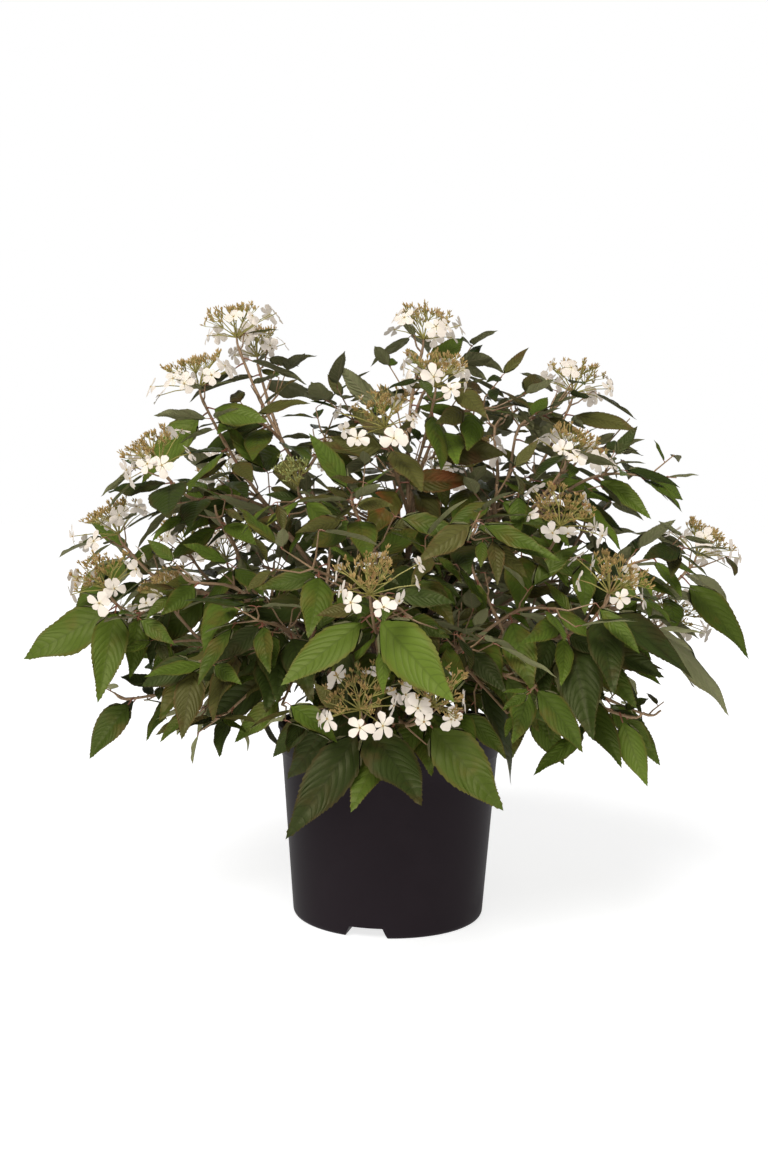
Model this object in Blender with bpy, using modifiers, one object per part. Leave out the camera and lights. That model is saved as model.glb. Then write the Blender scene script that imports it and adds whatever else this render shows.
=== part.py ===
"""Potted viburnum: a low spreading shrub with flat flower heads, in a round nursery pot.

Lengths are metres and +Z is up. The origin is the centre of the pot's flat underside, and
the side of the crown that is seen first faces -Y. The tables give lengths in millimetres.

The shrub has a short stem inside the crown, and one tapering bough for each foliage mass.
A mass is one fused solid: a leading shoot, the shoots that branch from it, opposite pairs
of leaves, and a flower head at the tip of each shoot that blooms.
"""

import math
import random

import bmesh
import bpy
from mathutils import Matrix, Vector
from mathutils.bvhtree import BVHTree

MM = 0.001
GAP = 0.3 * MM
UP = Vector((0.0, 0.0, 1.0))
BACKWARD = Vector((0.0, 1.0, 0.0))

# The pot: a tapering wall, a collar below the rim, a thick floor with three drain channels.
POT_FOOT_RADIUS = 0.0862
POT_BASE_RADIUS = 0.0905
POT_FOOT_CHAMFER = 0.0055
POT_COLLAR_RADIUS = 0.1030
POT_COLLAR_Z = 0.157
POT_COLLAR_STEP = 0.0009
POT_HEIGHT = 0.183
POT_RIM_RADIUS = 0.1062
POT_LIP_HEIGHT = 0.004
POT_WALL = 0.0022
POT_FLOOR = 0.0135
POT_STEPS = 40
DRAIN_HEIGHT = 0.010
DRAIN_WIDTH_BELOW = 0.040
DRAIN_WIDTH_ABOVE = 0.031
DRAIN_REACH = (0.036, 0.120)
DRAIN_BEARING = -13.0
DRAIN_COUNT = 3

# The soil: a plug that fills the pot up to a low mound round the stem.
SOIL_TOP = 0.165
SOIL_EDGE_TOP = 0.160
SOIL_FLAT_RADIUS = 0.032

# The stem: flared at the soil, then a rounded stool that carries every bough.
STEM_FLARE_RADIUS = 0.0215
STEM_WAIST_RADIUS = 0.0150
STEM_LEAN = Vector((0.0025, -0.0015, 0.0))
STOOL_RADIUS = 0.0195
STOOL_Z = 0.213
STEM_RESOLUTION = 6

# The boughs: each leaves the stool square to its surface, in one of three rings, the lowest
# first. A ring is (boughs, degrees above level).
RINGS = [(8, 10.0), (7, 38.0), (5, 66.0)]
BOUGH_BASE_RADIUS = 0.0036
BOUGH_TIP_RADIUS = 0.0026
BOUGH_POINTS = 6
BOUGH_RESOLUTION = 1
BOUGH_SHARE = 0.34

# The shoots.
LEADER_RADIUS = 0.0024
BRANCH_RADIUS = 0.0018
SHOOT_TIP_RADIUS = 0.0010
INTERNODE = 0.043
SHOOT_TRIES = 14

# The filling shoots: leafy ones whose tips lie evenly over two domes inside the outline.
# Each dome is (reach along X, reach along Y, rise, count, least distance to another tip).
DOME_FOOT = Vector((0.0, 0.0, 0.225))
DOMES = [(0.248, 0.235, 0.215, 60, 0.068), (0.150, 0.140, 0.145, 24, 0.066)]
DOME_LOWEST = -0.16

# The leaves: pointed ovals in opposite pairs that hang more steeply low down and outside.
LEAF_LONG = 0.100
LEAF_SHORT = 0.076
LEAF_WIDTH = 0.53
LEAF_THICKNESS = 0.0016
LEAF_THICKEST_AT = 0.28
LEAF_WIDEST_AT = 0.44
LEAF_FOLD = 0.16
LEAF_TRIES = 7
NODE_SETBACK = 0.20
NODE_STAGGER = 0.05
LEAF_CLEARANCE = 0.0007
LIMB_CLEARANCE = 0.0012
SPACE_TOLERANCE = 0.030
CROWN_LOW = 0.20
CROWN_HIGH = 0.50
CROWN_REACH = 0.30

# The flower heads: flat, with buds inside and florets at the margin.
STALK_LENGTH = 0.032
STALK_RISE = 0.7
HEAD_RADIUS = 0.023
HEAD_DEPTH = 0.014
HEAD_DOME = 0.005
FLORET_REACH = 0.036
FLORETS = 5
BUD_SIZE = 0.55
HEAD_TRIES = 6
HEAD_SHRINK = 0.9

# Where the shoots of each mass end: kind, then x, y and z in millimetres. The first is the
# leading shoot. "bloom" ends in a flower head, "bud" in a small green one, "leaf" in leaves.
SPRAYS = {
    "top_left": [("bloom", -158, 30, 562), ("bloom", -142, 60, 545), ("bud", -93, -100, 428),
                 ("leaf", -66, 40, 452), ("leaf", -145, -10, 468)],
    "upper_left": [("bloom", -190, -20, 512), ("bloom", -212, -80, 444), ("bloom", -173, 120, 425)],
    "left": [("bloom", -264, -20, 376), ("bloom", -211, 60, 360), ("bloom", -255, -100, 336),
             ("leaf", -240, 30, 312)],
    "low_left": [("bloom", -206, -60, 318), ("leaf", -202, -80, 268), ("leaf", -168, -60, 206),
                 ("leaf", -160, 60, 198)],
    "front_left": [("leaf", -112, -180, 300), ("leaf", -140, -145, 216), ("leaf", -92, -172, 228),
                   ("leaf", -168, -176, 262)],
    "front": [("leaf", 13, -215, 308), ("bloom", -18, -262, 350), ("leaf", -66, -195, 345)],
    "front_low": [("bloom", -25, -240, 254), ("bloom", 30, -246, 260), ("leaf", -16, -172, 250),
                  ("leaf", -74, -172, 222), ("leaf", 62, -176, 226)],
    "front_right": [("leaf", 63, -190, 280), ("leaf", 98, -165, 222), ("leaf", 137, -170, 312),
                    ("leaf", 118, -205, 252)],
    "top_middle": [("bloom", 34, 40, 562), ("bloom", 40, -80, 515), ("leaf", 64, 60, 524),
                   ("bloom", -8, -100, 478), ("leaf", -38, 10, 468), ("leaf", 80, -50, 480)],
    "upper_right": [("bloom", 162, -50, 452), ("bloom", 184, 70, 514), ("bloom", 88, 0, 442),
                    ("leaf", 150, 30, 478), ("leaf", 120, 60, 480)],
    "right": [("leaf", 235, -30, 420), ("leaf", 205, 60, 445), ("bloom", 148, -140, 398)],
    "far_right": [("bloom", 300, 20, 360), ("leaf", 245, -60, 350), ("bloom", 274, 50, 300)],
    "right_front": [("bloom", 191, -165, 340), ("leaf", 205, -100, 290), ("leaf", 150, -145, 288)],
    "low_right": [("leaf", 178, -50, 250), ("leaf", 162, 50, 226), ("leaf", 122, -122, 214)],
    "back_top": [("bloom", 60, 190, 425), ("bloom", -60, 170, 440), ("leaf", -10, 120, 445)],
}
# The far side of the crown: masses of the near side, turned half round.
FAR_SIDE = {
    "back": "front",
    "back_low": "front_low",
    "back_left": "right_front",
    "back_mid_left": "front_right",
    "back_right": "front_left",
}
FAR_SIDE_TURN = 176.0

# Colours as linear RGB, with roughness.
FINISHES = {
    "pot": ((0.018, 0.014, 0.017), 0.45),
    "soil": ((0.040, 0.026, 0.018), 0.95),
    "bark": ((0.170, 0.105, 0.065), 0.80),
    "leaf": ((0.060, 0.130, 0.030), 0.55),
}


# ---------------------------------------------------------------- shapes as points and faces

def unit(vector):
    return vector.normalized()


def turned(vector, axis, degrees):
    return Matrix.Rotation(math.radians(degrees), 3, axis) @ vector


def outward(point):
    """The level direction away from the pot's axis at a point."""
    flat = Vector((point.x, point.y, 0.0))
    if flat.length < 1.0 * MM:
        return Vector((0.0, -1.0, 0.0))
    return unit(flat)


def smooth_path(start, leave, end, arrive, count):
    """Points of a curve that leaves the start and arrives at the end in given directions."""
    pull = 0.40 * (end - start).length
    near = start + unit(leave) * pull
    far = end - unit(arrive) * pull
    points = []
    for i in range(count):
        t = i / (count - 1)
        s = 1.0 - t
        points.append(start * s ** 3 + near * (3 * s * s * t) + far * (3 * s * t * t) + end * t ** 3)
    return points


def tangents(points):
    found = []
    for i in range(len(points)):
        before = points[max(i - 1, 0)]
        after = points[min(i + 1, len(points) - 1)]
        found.append(unit(after - before))
    return found


def tube(points, radii, sides, first=None):
    """A closed tube with flat ends along points, as vertices and faces.

    The end at the first point is square to the direction given as first, if any.
    """
    along = tangents(points)
    if first:
        along[0] = first
    side = along[0].orthogonal()
    vertices = []
    for point, radius, direction in zip(points, radii, along):
        side = unit(side - direction * side.dot(direction))
        up = direction.cross(side)
        for k in range(sides):
            angle = 2 * math.pi * k / sides
            vertices.append(point + (side * math.cos(angle) + up * math.sin(angle)) * radius)
    faces = []
    for i in range(len(points) - 1):
        for k in range(sides):
            here = i * sides + k
            beside = i * sides + (k + 1) % sides
            faces.append((here, beside, beside + sides, here + sides))
    last = (len(points) - 1) * sides
    faces.append(tuple(range(sides - 1, -1, -1)))
    faces.append(tuple(range(last, last + sides)))
    return vertices, faces


def taper(start, end, count):
    return [start + (end - start) * i / (count - 1) for i in range(count)]


def lens(rim, top, bottom):
    """A thin closed plate: a rim of points with one point above it and one below."""
    vertices = list(rim) + [top, bottom]
    count = len(rim)
    faces = []
    for i in range(count):
        after = (i + 1) % count
        faces.append((i, after, count))
        faces.append((after, i, count + 1))
    return vertices, faces


def leaf_solid(root, along, normal, length, arch, fat=0.0):
    """A leaf as eight triangles. Its root point is sunk in the twig that bears it."""
    side = along.cross(normal)
    half = LEAF_WIDTH * length / 2 + fat

    def at(share, across, lift):
        drop = arch * length * share * share
        return root + along * (share * length) + side * across + normal * (lift - drop)

    thick = LEAF_THICKNESS / 2 + fat
    rim = [
        at(0.0, 0.0, 0.0),
        at(LEAF_WIDEST_AT, half, LEAF_FOLD * half),
        at(1.0, 0.0, 0.0),
        at(LEAF_WIDEST_AT, -half, LEAF_FOLD * half),
    ]
    return lens(rim, at(LEAF_THICKEST_AT, 0.0, thick), at(LEAF_THICKEST_AT, 0.0, -thick))


# ------------------------------------------------------------------- the plan of the boughs

def spray_plan():
    """Every mass's shoots as (kind, tip), with the far side's turned from the near side's."""
    plan = {}
    for name, rows in SPRAYS.items():
        plan[name] = [(kind, Vector((x, y, z)) * MM) for kind, x, y, z in rows]
    for name, twin in FAR_SIDE.items():
        plan[name] = [(kind, turned(tip, UP, FAR_SIDE_TURN)) for kind, tip in plan[twin]]
    return plan


def middle(rows):
    return sum((tip for _, tip in rows), Vector()) / len(rows)


def dome_points(reach_x, reach_y, rise, count):
    """Points spread evenly over a dome by the golden angle."""
    golden = math.pi * (3 - math.sqrt(5))
    for i in range(count):
        height = DOME_LOWEST + (0.97 - DOME_LOWEST) * (i + 0.5) / count
        ring = math.sqrt(1 - height * height)
        turn = i * golden
        yield DOME_FOOT + Vector((reach_x * ring * math.cos(turn), reach_y * ring * math.sin(turn),
                                  rise * height))


def filled_plan(plan):
    """Adds a leafy shoot wherever a dome's point is far from every other tip."""
    full = {name: list(rows) for name, rows in plan.items()}
    tips = [tip for rows in plan.values() for _, tip in rows]
    for reach_x, reach_y, rise, count, apart in DOMES:
        for point in dome_points(reach_x, reach_y, rise, count):
            if min((point - tip).length for tip in tips) < apart:
                continue
            tips.append(point)
            nearest = min(plan, key=lambda name: (middle(plan[name]) - point).length)
            full[nearest].append(("fill", point))
    return full


def ring_directions(plan):
    """Deals each bough its direction off the stool, in rings from the lowest mass up."""
    def pitch_of(name):
        seen = middle(plan[name]) - stool_centre()
        return seen.z / seen.length

    waiting = sorted(plan, key=pitch_of)
    directions = {}
    for count, degrees in RINGS:
        members, waiting = waiting[:count], waiting[count:]
        bearings = {name: math.atan2(middle(plan[name]).y, middle(plan[name]).x) for name in members}
        members.sort(key=bearings.get)
        step = 2 * math.pi / len(members)
        drift = sum(bearings[name] - i * step for i, name in enumerate(members)) / len(members)
        rise = math.radians(degrees)
        for i, name in enumerate(members):
            turn = drift + i * step
            flat = Vector((math.cos(turn), math.sin(turn), 0.0))
            directions[name] = flat * math.cos(rise) + UP * math.sin(rise)
    return directions


def stool_centre():
    return Vector((0.0, 0.0, STOOL_Z)) + STEM_LEAN


def bough_path(direction, rows):
    start = stool_centre() + direction * (STOOL_RADIUS + GAP)
    aim = middle(rows)
    end = start + (aim - start) * BOUGH_SHARE
    end.z += 0.012
    arrive = unit(aim - end) + UP * 0.25
    return smooth_path(start, direction, end, arrive, BOUGH_POINTS)


def shoot_end(kind, tip, rng):
    """Where the leafy part of a shoot ends, and the direction in which it arrives."""
    away = outward(tip)
    if kind in ("leaf", "fill"):
        return tip, unit(away + UP * rng.uniform(-0.30, 0.15))
    arrive = unit(UP + away * rng.uniform(0.30, 0.60))
    return tip - arrive * STALK_LENGTH, arrive


def leader_joint(leader, end):
    """The leader's node from which a shoot branches to reach an end: never past its middle."""
    usable = range(1, max(2, (2 * len(leader)) // 3))
    return min(usable, key=lambda i: (leader[i] - end).length + 0.03 * i)


def shoot_points(kind, tip, start, leave, rng):
    end, arrive = shoot_end(kind, tip, rng)
    count = max(3, round((end - start).length / INTERNODE) + 1)
    return smooth_path(start, leave, end, arrive, count)


def stalk_direction(points):
    """A flower's stalk turns up from the end of its shoot."""
    return unit(tangents(points)[-1] + UP * STALK_RISE)


def with_stalk(kind, points):
    """A shoot's points, and on a blooming shoot the point where its stalk meets the head."""
    if kind in ("leaf", "fill"):
        return points
    return points + [points[-1] + stalk_direction(points) * (STALK_LENGTH - HEAD_DEPTH / 2)]


def grow_shoots(plan, boughs, placed):
    """Every shoot as (kind, points, radius, first direction), clear of other masses' limbs."""
    shoots = {name: [] for name in plan}
    longest = max(len(rows) for rows in plan.values())
    for index in range(longest):
        for seed, (name, rows) in enumerate(plan.items()):
            if index >= len(rows):
                continue
            kind, tip = rows[index]
            found = clear_shoot(name, index, seed, kind, tip, boughs[name], shoots[name], placed)
            if found:
                shoots[name].append(found)
    return shoots


def clear_shoot(name, index, seed, kind, tip, bough, siblings, placed):
    out = tangents(bough)[-1]
    for attempt in range(SHOOT_TRIES):
        rng = random.Random(seed * 6007 + index * 389 + attempt)
        swerve = Vector([rng.uniform(-1, 1) for _ in range(3)]) * 0.12 * attempt
        if index == 0:
            start, radius = bough[-1] + out * GAP, LEADER_RADIUS
            leave = out + swerve * 0.5
        else:
            leader = siblings[0][1]
            joint = leader_joint(leader, tip)
            start, radius = leader[joint], BRANCH_RADIUS
            leave = unit(tangents(leader)[joint]) + unit(tip - start) * 0.8 + swerve
        points = shoot_points(kind, tip, start, leave, rng)
        whole = with_stalk(kind, points)
        radii = taper(radius + LIMB_CLEARANCE, SHOOT_TIP_RADIUS + LIMB_CLEARANCE, len(whole))
        solid = tube(whole, radii, 4)
        if not placed.meets(solid, name, ("bough", name) if index == 0 else None):
            placed.add(solid, name)
            return kind, points, radius, out if index == 0 else None
    return None


# ------------------------------------------------------------------------ the foliage masses

def box_of(solid):
    vertices, _ = solid
    low = [min(vertex[i] for vertex in vertices) for i in range(3)]
    high = [max(vertex[i] for vertex in vertices) for i in range(3)]
    return low, high


class Placed:
    """Solids that are already in place, each with its owner and a box for a quick test."""

    def __init__(self):
        self.items = []

    def add(self, solid, owner):
        low, high = box_of(solid)
        self.items.append((low, high, BVHTree.FromPolygons(*solid), owner))

    def meets(self, solid, *ignored):
        """True when a solid crosses anything in place, other than what the ignored own."""
        low, high = box_of(solid)
        tree = None
        for low_2, high_2, tree_2, owner in self.items:
            if owner in ignored:
                continue
            if any(low[i] > high_2[i] or high[i] < low_2[i] for i in range(3)):
                continue
            tree = tree or BVHTree.FromPolygons(*solid)
            if tree.overlap(tree_2):
                return True
        return False


def spine_distance(point, spine):
    return min((point - other).length for other in spine)


def keeps_space(points, name, spines):
    """True when points are nearer to their own mass's shoots than to any other mass's."""
    for point in points:
        own = spine_distance(point, spines[name])
        for other, spine in spines.items():
            if other != name and spine_distance(point, spine) + SPACE_TOLERANCE < own:
                return False
    return True


def leaf_pose(node, along, turn, hand, rng, attempt):
    """The direction, face and length of a leaf on a node of a shoot, leaning to the light."""
    level = along.cross(UP)
    side = unit(level) if level.length > 0.2 else outward(node).cross(UP)
    side = turned(side, along, turn + rng.uniform(-24, 24)) * hand
    opening = math.radians(rng.uniform(40, 66) + 24 * max(0.0, along.z))
    axis = along * math.cos(opening) + side * math.sin(opening)
    low = min(1.0, max(0.0, (CROWN_HIGH - node.z) / (CROWN_HIGH - CROWN_LOW)))
    outer = min(1.0, math.hypot(node.x, node.y) / CROWN_REACH)
    bright = (1 - 0.6 * low) * min(1.0, max(0.0, 0.55 - 1.6 * node.y / CROWN_REACH))
    axis = unit(axis)
    droop = 0.42 + 0.80 * low * low * (0.40 + 0.60 * outer) + rng.uniform(-0.25, 0.30)
    droop += 0.9 * max(0.0, axis.z - 0.2) - 0.75 * bright * max(0.0, axis.y)
    axis = unit(axis + outward(node) * (0.15 + 0.50 * low) - UP * droop)
    skyward = UP + outward(node) * 0.45 - BACKWARD * 1.1 * bright
    face = unit(skyward - axis * skyward.dot(axis))
    face = turned(face, axis, rng.uniform(-34, 34) * (1 + 0.2 * attempt))
    length = LEAF_SHORT + (LEAF_LONG - LEAF_SHORT) * math.sqrt(low)
    length *= rng.uniform(0.82, 1.12) * 0.93 ** attempt
    return axis, face, length


def shoot_leaves(name, index, seed, shoot, placed, spines):
    """The leaves of one shoot, in opposite pairs at its nodes."""
    kind, points, radius, _ = shoot
    along = tangents(points)
    last = len(points) - 1
    leaves = []
    for i in range(2 if index == 0 else 1, last + 1):
        upright = min(1.0, max(0.0, (along[i].z - 0.45) / 0.4))
        turn = 90.0 * (i % 2) * upright
        grown = 1.0 if i < last - 1 or kind == "bloom" else 0.88 if i == last - 1 else 0.66
        here = radius + (SHOOT_TIP_RADIUS - radius) * i / last
        for hand in (-1, 1):
            node = points[i].lerp(points[i - 1], NODE_SETBACK + NODE_STAGGER * hand)
            leaf = clear_leaf(name, (seed, index, i, hand), node, along[i], turn, hand,
                              grown, here, placed, spines)
            if leaf:
                leaves.append(leaf)
                placed.add(leaf, (name, "leaf"))
    return leaves


def clear_leaf(name, key, node, along, turn, hand, grown, radius, placed, spines):
    """A leaf that keeps its mass's space and touches nothing, or None after a few tries."""
    seed, index, place, _ = key
    for attempt in range(LEAF_TRIES):
        rng = random.Random(seed * 7919 + index * 977 + place * 53 + hand * 11 + attempt)
        axis, face, length = leaf_pose(node, along, turn, hand, rng, attempt)
        length *= grown
        arch = rng.uniform(0.10, 0.30)
        root = node - axis * radius * 0.35
        solid = leaf_solid(root, axis, face, length, arch)
        if not keeps_space(solid[0][1:4], name, spines):
            continue
        clear_root = node + axis * (radius + 2 * MM)
        puffed = leaf_solid(clear_root, axis, face, length, arch, LEAF_CLEARANCE)
        if not placed.meets(puffed) and not placed.meets(solid, name):
            return solid
    return None


def head_solid(hub, arrive, size, rng):
    """A flower head: a flat inverted cone of buds whose margin runs out into florets."""
    plate = hub + arrive * STALK_LENGTH
    side = turned(arrive.orthogonal(), arrive, rng.uniform(0, 360))
    rim = []
    for k in range(2 * FLORETS):
        reach = FLORET_REACH * rng.uniform(0.88, 1.08) if k % 2 == 0 else HEAD_RADIUS
        lift = arrive * rng.uniform(-4, 3) * MM
        rim.append(plate + turned(side, arrive, 180 * k / FLORETS) * reach * size + lift)
    return lens(rim, plate + arrive * HEAD_DOME, plate - arrive * HEAD_DEPTH * size)


def clear_head(name, key, kind, hub, arrive, placed):
    """A flower head that touches no other mass: it shrinks a little at each try."""
    for attempt in range(HEAD_TRIES):
        rng = random.Random(key + 17 * attempt)
        size = (1.0 if kind == "bloom" else BUD_SIZE) * HEAD_SHRINK ** attempt
        head = head_solid(hub, arrive, size, rng)
        if not placed.meets(head, name):
            return head
    return None


# ---------------------------------------------------------------------------- Blender objects

def material(name):
    colour, roughness = FINISHES[name]
    made = bpy.data.materials.new(name)
    made.use_nodes = True
    shader = made.node_tree.nodes["Principled BSDF"]
    shader.inputs["Base Color"].default_value = (*colour, 1.0)
    shader.inputs["Roughness"].default_value = roughness
    shader.inputs["Metallic"].default_value = 0.0
    return made


def mesh_object(name, solid, collection, finish=None):
    vertices, faces = solid
    mesh = bpy.data.meshes.new(name)
    mesh.from_pydata([tuple(v) for v in vertices], [], faces)
    mesh.update()
    made = bpy.data.objects.new(name, mesh)
    collection.objects.link(made)
    if finish:
        mesh.materials.append(finish)
    return made


def turned_object(name, profile, collection, finish):
    """A solid of revolution from a profile of (radius, height) that ends on the axis."""
    mesh = bpy.data.meshes.new(name)
    edges = [(i, i + 1) for i in range(len(profile) - 1)]
    mesh.from_pydata([(r, 0.0, z) for r, z in profile], edges, [])
    mesh.materials.append(finish)
    made = bpy.data.objects.new(name, mesh)
    collection.objects.link(made)
    screw = made.modifiers.new("turn", "SCREW")
    screw.steps = screw.render_steps = POT_STEPS
    screw.use_merge_vertices = True
    screw.merge_threshold = 0.00005
    screw.use_smooth_shade = True
    return made


def limb_object(name, points, radii, resolution, collection, finish):
    """A tapering limb with flat ends, as a poly curve with a radius at each point."""
    curve = bpy.data.curves.new(name, "CURVE")
    curve.dimensions = "3D"
    curve.resolution_u = 1
    curve.render_resolution_u = 0
    curve.bevel_depth = 1.0
    curve.bevel_resolution = resolution
    curve.use_fill_caps = True
    curve.materials.append(finish)
    spline = curve.splines.new("POLY")
    spline.points.add(len(points) - 1)
    for place, point, radius in zip(spline.points, points, radii):
        place.co = (*point, 1.0)
        place.radius = radius
    spline.use_smooth = True
    made = bpy.data.objects.new(name, curve)
    collection.objects.link(made)
    return made


def keep_largest_shell(mesh):
    """Keeps the largest closed shell: loose scraps are dropped and sealed hollows filled."""
    work = bmesh.new()
    work.from_mesh(mesh)
    left = set(work.faces)
    shells = []
    while left:
        shell = []
        edge_faces = [left.pop()]
        while edge_faces:
            face = edge_faces.pop()
            shell.append(face)
            near = {other for edge in face.edges for other in edge.link_faces} & left
            left -= near
            edge_faces.extend(near)
        shells.append(shell)
    shells.sort(key=len)
    for scrap in shells[:-1]:
        bmesh.ops.delete(work, geom=scrap, context="FACES")
    bmesh.ops.triangulate(work, faces=work.faces)
    work.to_mesh(mesh)
    work.free()


def fused_object(name, solids, collection, finish):
    """Joins the pieces of a mass by one union on a collection, then removes the pieces."""
    pieces = bpy.data.collections.new(name + "_pieces")
    bpy.context.scene.collection.children.link(pieces)
    for i, solid in enumerate(solids[1:]):
        mesh_object(f"{name}_piece_{i}", solid, pieces)
    leader = mesh_object(name + "_leader", solids[0], collection)
    union = leader.modifiers.new("fuse", "BOOLEAN")
    union.operation = "UNION"
    union.solver = "EXACT"
    union.operand_type = "COLLECTION"
    union.collection = pieces
    graph = bpy.context.evaluated_depsgraph_get()
    mesh = bpy.data.meshes.new_from_object(leader.evaluated_get(graph))
    mesh.name = name
    keep_largest_shell(mesh)
    for scrap in list(pieces.objects) + [leader]:
        bpy.data.meshes.remove(scrap.data)
    bpy.data.collections.remove(pieces)
    mesh.materials.clear()
    mesh.materials.append(finish)
    made = bpy.data.objects.new(name, mesh)
    collection.objects.link(made)
    return made


# --------------------------------------------------------------------------------- the pieces

def pot_wall_radius(z):
    """The wall's outer radius at a height, between the foot and the rim."""
    share = (z - POT_FOOT_CHAMFER) / (POT_COLLAR_Z - POT_FOOT_CHAMFER)
    return POT_BASE_RADIUS + (POT_COLLAR_RADIUS - POT_COLLAR_STEP - POT_BASE_RADIUS) * share


def make_pot(collection, cutters, finish):
    inner_foot = pot_wall_radius(POT_FLOOR) - POT_WALL
    inner_rim = pot_wall_radius(POT_HEIGHT) - POT_WALL
    bead_z = POT_COLLAR_Z - 0.0045
    profile = [
        (0.0, POT_FLOOR),
        (inner_foot, POT_FLOOR),
        (inner_rim, POT_HEIGHT - 0.0008),
        (inner_rim + 0.0008, POT_HEIGHT),
        (POT_RIM_RADIUS - 0.0008, POT_HEIGHT),
        (POT_RIM_RADIUS, POT_HEIGHT - 0.0008),
        (POT_RIM_RADIUS, POT_HEIGHT - POT_LIP_HEIGHT),
        (pot_wall_radius(POT_HEIGHT) + POT_COLLAR_STEP, POT_HEIGHT - POT_LIP_HEIGHT - 0.0012),
        (POT_COLLAR_RADIUS, POT_COLLAR_Z),
        (pot_wall_radius(POT_COLLAR_Z) + 0.0003, POT_COLLAR_Z - 0.0006),
        (pot_wall_radius(bead_z) + 0.0003, bead_z),
        (pot_wall_radius(bead_z), bead_z - 0.0004),
        (POT_BASE_RADIUS, POT_FOOT_CHAMFER),
        ((POT_BASE_RADIUS + POT_FOOT_RADIUS) / 2 + 0.0007, 0.0018),
        (POT_FOOT_RADIUS, 0.0),
        (0.0, 0.0),
    ]
    pot = turned_object("pot", profile, collection, finish)
    for i in range(DRAIN_COUNT):
        cutter = drain_cutter(i, cutters)
        cut = pot.modifiers.new(f"drain_{i}", "BOOLEAN")
        cut.operation = "DIFFERENCE"
        cut.solver = "EXACT"
        cut.object = cutter
    return pot


def drain_cutter(index, cutters):
    """A channel under the floor: a bar with sloping sides that runs out through the foot."""
    below = 2 * MM
    slope = (DRAIN_WIDTH_BELOW - DRAIN_WIDTH_ABOVE) / 2 / DRAIN_HEIGHT
    low_half = DRAIN_WIDTH_BELOW / 2 + slope * below
    high_half = DRAIN_WIDTH_ABOVE / 2
    near, far = DRAIN_REACH
    mesh = bpy.data.meshes.new(f"drain_{index}")
    work = bmesh.new()
    bmesh.ops.create_cube(work, size=1.0)
    for vertex in work.verts:
        top = vertex.co.z > 0
        vertex.co.z = DRAIN_HEIGHT if top else -below
        vertex.co.x = math.copysign(high_half if top else low_half, vertex.co.x)
        vertex.co.y = -far if vertex.co.y < 0 else -near
    work.to_mesh(mesh)
    work.free()
    cutter = bpy.data.objects.new(f"drain_{index}", mesh)
    cutter.rotation_euler.z = math.radians(DRAIN_BEARING + 360 * index / DRAIN_COUNT)
    cutter.hide_render = True
    cutter.hide_viewport = True
    cutter.display_type = "WIRE"
    cutters.objects.link(cutter)
    return cutter


def make_soil(collection, finish):
    foot = pot_wall_radius(POT_FLOOR) - POT_WALL - GAP
    edge = pot_wall_radius(SOIL_EDGE_TOP) - POT_WALL - GAP
    profile = [
        (0.0, SOIL_TOP),
        (SOIL_FLAT_RADIUS, SOIL_TOP),
        (edge - 0.022, SOIL_TOP - 0.003),
        (edge, SOIL_EDGE_TOP),
        (foot, POT_FLOOR + GAP),
        (0.0, POT_FLOOR + GAP),
    ]
    return turned_object("soil", profile, collection, finish)


def make_stem(collection, finish):
    """The stem, from a flat cut on the soil up through its flare and waist to the stool."""
    heights = [SOIL_TOP + GAP, SOIL_TOP + 0.004, SOIL_TOP + 0.012, SOIL_TOP + 0.024]
    radii = [STEM_FLARE_RADIUS, STEM_FLARE_RADIUS * 0.84, STEM_WAIST_RADIUS * 1.06, STEM_WAIST_RADIUS]
    for degrees in (-36, -16, 4, 24, 44, 64, 80):
        angle = math.radians(degrees)
        heights.append(STOOL_Z + STOOL_RADIUS * math.sin(angle))
        radii.append(STOOL_RADIUS * math.cos(angle))
    upright = heights[1]
    points = []
    for z in heights:
        share = min(1.0, max(0.0, (z - upright) / (STOOL_Z - upright)))
        points.append(UP * z + STEM_LEAN * share)
    return limb_object("stem", points, radii, STEM_RESOLUTION, collection, finish)


def place_limbs(boughs):
    """Starts the record of what is in place with the pot and the boughs, a little fattened."""
    placed = Placed()
    low, high = POT_HEIGHT / 3, POT_HEIGHT
    pot_radius = POT_RIM_RADIUS + LIMB_CLEARANCE
    placed.add(tube([UP * low, UP * high], [pot_radius] * 2, 24), "pot")
    radii = taper(BOUGH_BASE_RADIUS + LIMB_CLEARANCE, BOUGH_TIP_RADIUS + LIMB_CLEARANCE, BOUGH_POINTS)
    for name, path in boughs.items():
        placed.add(tube(path, radii, 8), ("bough", name))
    return placed


def shoot_solids(name, seed, index, shoot, placed):
    """The twig of one shoot and, where it blooms, its stalk and flower head."""
    kind, points, radius, first = shoot
    solids = []
    if kind in ("bloom", "bud"):
        arrive = stalk_direction(points)
        head = clear_head(name, seed * 131 + index, kind, points[-1], arrive, placed)
        if head:
            placed.add(head, (name, "head"))
            solids.append(head)
    whole = with_stalk(kind, points)
    solids.insert(0, tube(whole, taper(radius, SHOOT_TIP_RADIUS, len(whole)), 3, first))
    return solids


def grow_plant():
    """The path of every bough, and the solids of every mass with its leading shoot first."""
    near = spray_plan()
    directions = ring_directions(near)
    boughs = {name: bough_path(directions[name], rows) for name, rows in near.items()}
    placed = place_limbs(boughs)
    shoots = grow_shoots(filled_plan(near), boughs, placed)
    spines = {name: [point for shoot in found for point in shoot[1][1:]]
              for name, found in shoots.items()}
    masses = {name: [] for name in shoots}
    for seed, (name, found) in enumerate(shoots.items()):
        for index, shoot in enumerate(found):
            masses[name].extend(shoot_solids(name, seed, index, shoot, placed))
    for seed, (name, found) in enumerate(shoots.items()):
        for index, shoot in enumerate(found):
            masses[name].extend(shoot_leaves(name, index, seed, shoot, placed, spines))
    return boughs, masses


def clear_scene():
    for item in list(bpy.data.objects):
        bpy.data.objects.remove(item, do_unlink=True)


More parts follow.
